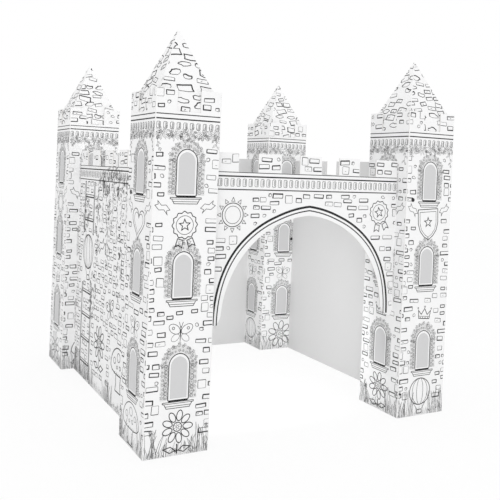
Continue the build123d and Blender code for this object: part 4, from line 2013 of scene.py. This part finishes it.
@dataclass(kw_only=True)
class WallPrint(SheetPrint):
    """The print of one wall's sheet: bands along its top, stones below. Each kind adds its own drawings."""

    figures: Figures
    foot: float = 0.0
    field_foot: float = 0.052
    stone_gap: float = 0.0020
    side_gap: float = 0.002
    line_levels: tuple[float, ...] = (0.7990, 0.7872, 0.7478)
    line_widths: tuple[float, ...] = (0.0022, 0.0042, 0.0032)
    dentil_level: float = 0.7685
    dentils: int = 34
    band_gap: float = 0.003
    band_rise: float = 0.001
    floor_gap: float = 0.0001
    merlon_foot: float = 0.809
    merlon_side_gap: float = 0.010
    merlon_top_gap: float = 0.008
    bushes: tuple[tuple[Point, Point, int], ...] = (((0.2, 0.742), (0.05, 0.016), 90),)
    bush_reach: float = 1.9
    bush_scales: Span = (0.85, 1.3)
    bush_kept: float = 1.1
    vines: tuple[float, ...] = (0.12, 0.2, 0.26, 0.6, 0.63)
    short_stretches: tuple[Span, ...] = ()
    vine_level: float = 0.744
    vine_lengths: Span = (0.06, 0.2)
    vine_gap: float = 0.006
    stone_tries: int = 6000
    pebble_tries: int = 700
    merlon_tries: int = 60

    def name(self) -> str:
        """The wall sheet's name."""
        return WALL_NAMES[self.turn]

    def panels(self) -> list[Panel]:
        """The wall's one panel, with its merlons.

        Returns:
            The panel, in a list.
        """
        length, gap = CASTLE.wall_length, self.edge_gap
        floor, top = CASTLE.wall_gap_floor - self.floor_gap, CASTLE.wall_height - gap
        reach = CASTLE.half_plan - CASTLE.wall_setback
        corner = self.turn.outward() * reach - self.turn.rightward() * (length / 2)
        regions = [box_region(gap, self.foot + gap, length - gap, floor)]
        regions += [box_region(left + gap, floor, right - gap, top) for left, right in self.merlons()]
        return [Panel(corner, self.turn.rightward(), UP, 0.0, tuple(regions))]

    @staticmethod
    def merlons() -> list[Span]:
        """Where each merlon starts and ends along the wall.

        Returns:
            The start and end of each, from left to right.
        """
        spans = [(0.0, CASTLE.wall_end_merlon)]
        while spans[-1][1] < CASTLE.wall_length - 1.5 * CASTLE.wall_end_merlon:
            left = spans[-1][1] + CASTLE.wall_gap
            spans.append((left, min(left + CASTLE.wall_merlon, CASTLE.wall_length)))
        spans[-1] = (CASTLE.wall_length - CASTLE.wall_end_merlon, CASTLE.wall_length)
        return spans

    def draw_bands(self) -> None:
        """Draws the three lines and the row of dentils along the top, and stones on the merlons."""
        length = CASTLE.wall_length
        self.lay_lines(self.line_levels, self.line_widths, length)
        self.lay_dentils(self.stamps.wall_dentil, self.dentils, length / self.dentils, self.dentil_level)
        low, high = self.line_levels[2] - self.band_gap, self.line_levels[0] + self.band_rise
        self.sheet.take(0.0, low, length, high)
        gap, top = self.merlon_side_gap, CASTLE.wall_height - self.merlon_top_gap
        for left, right in self.merlons():
            area = Area(left + gap, self.merlon_foot, right - gap, top)
            self.lay_stones(self.stamps.stones + self.stamps.pebbles, area, self.merlon_tries)

    def draw_bush(self, at: Point, spread: Point, count: int) -> None:
        """Draws a bush of ivy.

        Args:
            at: Its middle.
            spread: How far most of it reaches, across and up.
            count: How many leaves it has.
        """
        for _ in range(count):
            reach, angle = self.bush_reach * math.sqrt(self.rng.random()), self.stray(math.pi)
            spot = (at[0] + spread[0] * reach * math.cos(angle), at[1] + spread[1] * reach * math.sin(angle))
            self.lay_ivy_leaf(spot, math.pi, self.bush_scales)
        half, low = self.bush_kept * spread[0], self.bush_kept * spread[1]
        self.sheet.take(at[0] - half, at[1] - low, at[0] + half, at[1] + spread[1])

    def draw_vines(self) -> None:
        """Draws the vines that hang from the bands."""
        for across in self.vines:
            length = self.rng.uniform(*self.vine_lengths)
            self.lay_vine((across, self.vine_level), length)
            low, high = self.vine_level - length - self.band_gap, self.vine_level + self.band_rise
            self.sheet.take(across - self.vine_gap, low, across + self.vine_gap, high)

    def fill(self, stones: list[Mark]) -> Sheet:
        """Fills the rest of the wall with stones and hands back its sheet.

        Args:
            stones: Stones to choose from.

        Returns:
            The drawn sheet.
        """
        right, top = CASTLE.wall_length - self.side_gap, self.line_levels[2] - self.band_gap
        area = Area(self.side_gap, self.field_foot, right, top, gap=self.stone_gap)
        self.lay_stones(stones, area, self.stone_tries)
        self.lay_stones(self.stamps.pebbles, area, self.pebble_tries)
        return self.sheet

    def grow(self) -> Sheet:
        """Draws the ivy and the grass, and fills the wall with stones.

        Returns:
            The drawn sheet.
        """
        for bush in self.bushes:
            self.draw_bush(*bush)
        self.draw_vines()
        self.lay_grass(0.0, CASTLE.wall_length, self.short_stretches)
        return self.fill(self.stamps.bold_stones)

    def draw(self) -> Sheet:
        """Draws a wall seen from behind only: ivy, two figures and grass.

        Returns:
            The drawn sheet.
        """
        self.draw_bands()
        self.sheet.place(self.figures.shield(0.05), (0.2, 0.45))
        self.sheet.place(self.figures.blossom(0.05), (0.5, 0.5))
        return self.grow()


@dataclass(kw_only=True)
class LeftWallPrint(WallPrint):
    """The print of the left wall: two ladders, bushes of ivy and figures over the grass."""

    ladders: tuple[tuple[Point, float], ...] = (((0.138, 0.012), 0.345), ((0.138, 0.545), 0.196))
    bushes: tuple[tuple[Point, Point, int], ...] = (
        ((0.41, 0.746), (0.085, 0.028), 190),
        ((0.10, 0.610), (0.022, 0.040), 54),
        ((0.21, 0.330), (0.024, 0.048), 64),
        ((0.25, 0.600), (0.016, 0.066), 60),
        ((0.37, 0.565), (0.018, 0.060), 60),
        ((0.50, 0.480), (0.014, 0.070), 50),
    )
    vines: tuple[float, ...] = (0.24, 0.3, 0.345, 0.37, 0.41, 0.46, 0.5, 0.55)
    short_stretches: tuple[Span, ...] = ((0.25, 0.38), (0.47, 0.6))

    def draw(self) -> Sheet:
        """Draws the whole sheet.

        Returns:
            The drawn sheet.
        """
        self.draw_bands()
        for foot, height in self.ladders:
            Ladder(height, self.figures.line).lay(self.sheet, foot)
        self.sheet.place(self.figures.balloon(0.090), (0.140, 0.478), 0.08)
        self.sheet.place(self.figures.streamer(0.040), (0.300, 0.520), 0.5)
        self.sheet.place(self.figures.sunflower(0.088), (0.315, 0.150))
        self.sheet.place(self.figures.toadstool(0.078), (0.530, 0.140))
        self.sheet.place(self.figures.butterfly(0.045), (0.425, 0.315), 0.3)
        return self.grow()


@dataclass(kw_only=True)
class ArchWallPrint(WallPrint):
    """The print of the front wall: two lines round the arch and a round figure on each side."""

    foot: float = CASTLE.arch_leg_foot
    field_foot: float = CASTLE.arch_leg_foot
    stone_gap: float = 0.0030
    arch_lines: tuple[Span, ...] = ((0.326, 0.0070), (0.3137, 0.0036))
    arch_line_foot: float = 0.345
    arch_line_step: int = 3
    shoulder: float = 0.0108
    point: float = 0.0102
    point_half_angle: float = 22
    clear: float = 0.024
    clear_step: float = 0.006

    def arch_reach(self, reach: float, angle: float) -> float:
        """How far an arch line lies from the arch's centre: fuller at the shoulders and pointed on top.

        Args:
            reach: The line's distance at the spring.
            angle: Angle from the right spring, in degrees.

        Returns:
            The line's distance at that angle.
        """
        side = min(angle, 180 - angle)
        shoulder = math.sin(math.radians(2 * min(side, 45))) ** 2
        point = max(0.0, 1 - (90 - side) / self.point_half_angle) ** 1.4
        return reach + self.shoulder * shoulder + self.point * point

    def draw_arch(self) -> None:
        """Draws the two lines round the arch and keeps stones outside them."""
        middle, spring = CASTLE.wall_length / 2, CASTLE.arch_spring
        for reach, width in self.arch_lines:
            line = [(reach, self.arch_line_foot)]
            for angle in range(0, 181, self.arch_line_step):
                line += arc_points((0.0, spring), self.arch_reach(reach, angle), angle, angle, 0)
            line.append((-reach, self.arch_line_foot))
            self.sheet.lay(Kind.BAND, even_stroke(line, width), (middle, 0.0))
        outer = self.arch_lines[0][0] + self.clear
        for low in np.arange(CASTLE.arch_leg_foot, spring + outer, self.clear_step):
            over = max(0.0, low - spring)
            if over < outer:
                half = math.sqrt(outer**2 - over**2) - CASTLE.arch_offset
                self.sheet.take(middle - half, low, middle + half, low + self.clear_step)

    def draw(self) -> Sheet:
        """Draws the whole sheet.

        Returns:
            The drawn sheet.
        """
        self.draw_bands()
        self.draw_arch()
        self.sheet.place(self.figures.sun(0.054), (0.077, 0.672))
        self.sheet.place(self.figures.rosette(0.05), (0.629, 0.683), 0.2)
        return self.fill(self.stamps.stones)


# The studio


@dataclass(frozen=True)
class Lamp:
    """A soft lamp. It faces the middle of the castle unless it is given another aim."""

    name: str
    place: Place
    size: Point
    power: float
    aim: Place = (0.0, 0.0, 0.5)

    def hang(self) -> None:
        """Hangs the lamp where the camera doesn't see it."""
        data = bpy.data.lights.new(self.name, "AREA")
        data.shape = "RECTANGLE"
        data.size, data.size_y = self.size
        data.energy = self.power
        lamp = bpy.data.objects.new(self.name, data)
        bpy.context.scene.collection.objects.link(lamp)
        lamp.location = self.place
        lamp.rotation_euler = (Vector(self.aim) - Vector(self.place)).to_track_quat("-Z", "Y").to_euler()
        lamp.visible_camera = False


@dataclass(frozen=True)
class Studio:
    """The floor, the light and the camera."""

    camera_place: Place = (-1.2371, -2.3018, 0.8082)
    camera_azimuth: float = 26.96
    camera_elevation: float = -0.686
    camera_roll: float = 2.278
    lens: float = 49.57
    sensor: float = 36.0
    shift: Point = (0.06, -0.1465)
    view_end: float = 60.0
    floor_size: float = 24.0
    floor_drop: float = 0.0005
    floor_white: Colour = (0.93, 0.93, 0.93)
    floor_low: Colour = (0.91, 0.91, 0.91)
    floor_scale: float = 2.0
    floor_detail: float = 2.0
    floor_roughness: float = 0.9
    floor_glow: float = 1.013
    backdrop_share: float = 0.86
    sky_strength: float = 0.92
    lamps: tuple[Lamp, ...] = (
        Lamp("key_lamp", (-9.0, -15.6, 0.8), (6.8, 3.2), 740.0),
        Lamp("top_lamp", (0.0, -0.01, 3.3), (1.4, 1.4), 6.0),
        Lamp("inner_lamp", (-0.12, -0.40, 0.36), (0.5, 0.4), 2.0, (-0.05, 0.5, 0.12)),
    )

    def set_camera(self) -> None:
        """Sets up the camera at the photograph's viewing angle."""
        data = bpy.data.cameras.new("camera")
        data.lens = self.lens
        data.sensor_width = self.sensor
        data.shift_x, data.shift_y = self.shift
        data.clip_end = self.view_end
        camera = bpy.data.objects.new("camera", data)
        bpy.context.scene.collection.objects.link(camera)
        heading = Matrix.Rotation(math.radians(-self.camera_azimuth), 4, "Z")
        facing = heading @ Matrix.Rotation(math.radians(90 + self.camera_elevation), 4, "X")
        roll = Matrix.Rotation(math.radians(self.camera_roll), 4, "Z")
        camera.matrix_world = Matrix.Translation(self.camera_place) @ facing @ roll
        bpy.context.scene.camera = camera

    def lay_floor(self) -> None:
        """Lays a plain white floor, whose far edge fades into the backdrop."""
        deselect_all()
        bpy.ops.mesh.primitive_grid_add(
            x_subdivisions=8, y_subdivisions=8, size=self.floor_size, location=(0, 0, -self.floor_drop)
        )
        floor = bpy.context.object
        floor.name = "floor"
        nodes = MaterialTree("floor_white")
        cloud = nodes.noise(self.floor_scale, self.floor_detail)
        nodes.dress(nodes.blend(cloud, self.floor_white, self.floor_low), self.floor_roughness)
        glow = nodes.add("ShaderNodeEmission")
        glow.inputs["Color"].default_value = (1, 1, 1, 1)
        glow.inputs["Strength"].default_value = self.floor_glow
        mix = nodes.add("ShaderNodeMixShader")
        nodes.join(nodes.math("MULTIPLY", nodes.seen_directly(), self.backdrop_share), mix.inputs[0])
        nodes.join(nodes.shader.outputs[0], mix.inputs[1])
        nodes.join(glow.outputs[0], mix.inputs[2])
        nodes.join(mix.outputs[0], nodes.output.inputs["Surface"])
        floor.data.materials.append(nodes.material)

    def set_sky(self) -> None:
        """Surrounds the scene with even light, and shows white where the camera sees it."""
        world = bpy.data.worlds.new("studio")
        world.use_nodes = True
        bpy.context.scene.world = world
        nodes = NodeTree(world.node_tree)
        background = world.node_tree.nodes["Background"]
        background.inputs["Color"].default_value = (1, 1, 1, 1)
        level = nodes.add("ShaderNodeMix")
        level.inputs["A"].default_value = self.sky_strength
        level.inputs["B"].default_value = 1.0
        nodes.join(nodes.seen_directly(), level.inputs["Factor"])
        nodes.join(level.outputs["Result"], background.inputs["Strength"])

    def set_up(self) -> None:
        """Sets up the whole studio."""
        self.set_camera()
        self.lay_floor()
        self.set_sky()
        for lamp in self.lamps:
            lamp.hang()
        bpy.context.scene.view_settings.view_transform = "Standard"


# Putting it together


def dress_frame(nodes: dict[str, bpy.types.Object]) -> None:
    """Gives each solid of the frame its finish.

    Args:
        nodes: The frame's nodes by their names.
    """
    walls_x = BoardFinish(SheetKind.WALL_X).make("board_side_walls")
    walls_y = BoardFinish(SheetKind.WALL_Y).make("board_front_and_back_walls")
    plastic = RivetFinish().make("rivet_plastic")
    finishes = {"rivets_seam": plastic, "rivets_side": plastic}
    for turn in Turn:
        name = TOWER_NAMES[turn]
        centre = CASTLE.tower_centre(turn)
        spot = (centre.x, centre.y)
        finishes[f"tower_{name}"] = BoardFinish(SheetKind.TOWER, spot).make(f"board_tower_{name}")
        finishes[f"roof_{name}"] = BoardFinish(SheetKind.ROOF, spot).make(f"board_roof_{name}")
        finishes[WALL_NAMES[turn]] = walls_y if turn in (Turn.FRONT, Turn.BACK) else walls_x
    for name, finish in finishes.items():
        node = nodes[name]
        node.data.materials.clear()
        node.data.materials.append(finish)
        LOG.info("%s: %s", name, finish.name)


def draw_sheets() -> list[Sheet]:
    """Draws the print of every sheet of the castle. Each sheet's seed is its own.

    Returns:
        The drawn sheets.
    """
    stamps, figures = Stamps(), Figures()
    bold = Figures(line=0.0038, thin=0.0026)
    drawings = {
        "window": WindowPrint(),
        "upper": [figures.rosette(0.050), figures.shield(0.056), figures.sun(0.056), figures.heart(0.053)],
        "small": [figures.butterfly(0.038), figures.crown(0.032)],
        "lower": [
            figures.toadstool(0.066),
            figures.sunflower(0.067),
            figures.balloon(0.064),
            figures.blossom(0.062),
        ],
        "streamer": figures.streamer(0.026),
    }
    prints: list[SheetPrint] = []
    for turn in Turn:
        prints.append(TowerPrint(turn=turn, stamps=stamps, seed=101 + turn.value, **drawings))
        prints.append(RoofPrint(turn=turn, stamps=stamps, seed=201 + turn.value))
    prints.append(ArchWallPrint(turn=Turn.FRONT, stamps=stamps, seed=301, figures=figures))
    prints.append(LeftWallPrint(turn=Turn.LEFT, stamps=stamps, seed=302, figures=bold))
    prints.append(WallPrint(turn=Turn.RIGHT, stamps=stamps, seed=303, figures=bold))
    prints.append(WallPrint(turn=Turn.BACK, stamps=stamps, seed=304, figures=bold))
    return [drawn.draw() for drawn in prints]


def mix_inks() -> dict[Kind, bpy.types.Material]:
    """Builds the ink for each kind of mark.

    Returns:
        The ink of each kind of mark.
    """
    inks = dict.fromkeys(Kind, INK.make("print_ink"))
    inks[Kind.IVY] = inks[Kind.GRASS] = SOFT_INK.make("print_ink_thin")
    inks[Kind.PANE] = PANE_GREY.make("print_grey")
    inks[Kind.GROUND] = GROUND_GREY.make("print_pale_grey")
    return inks


def main() -> None:
    """Dresses the castle, prints its sheets and sets up the studio."""
    logging.basicConfig(level=logging.INFO, format="%(message)s")
    dress_frame(frame["nodes"])
    inks = mix_inks()
    for sheet in draw_sheets():
        sheet.press(inks)
    Studio().set_up()


if __name__ == "__main__":
    main()
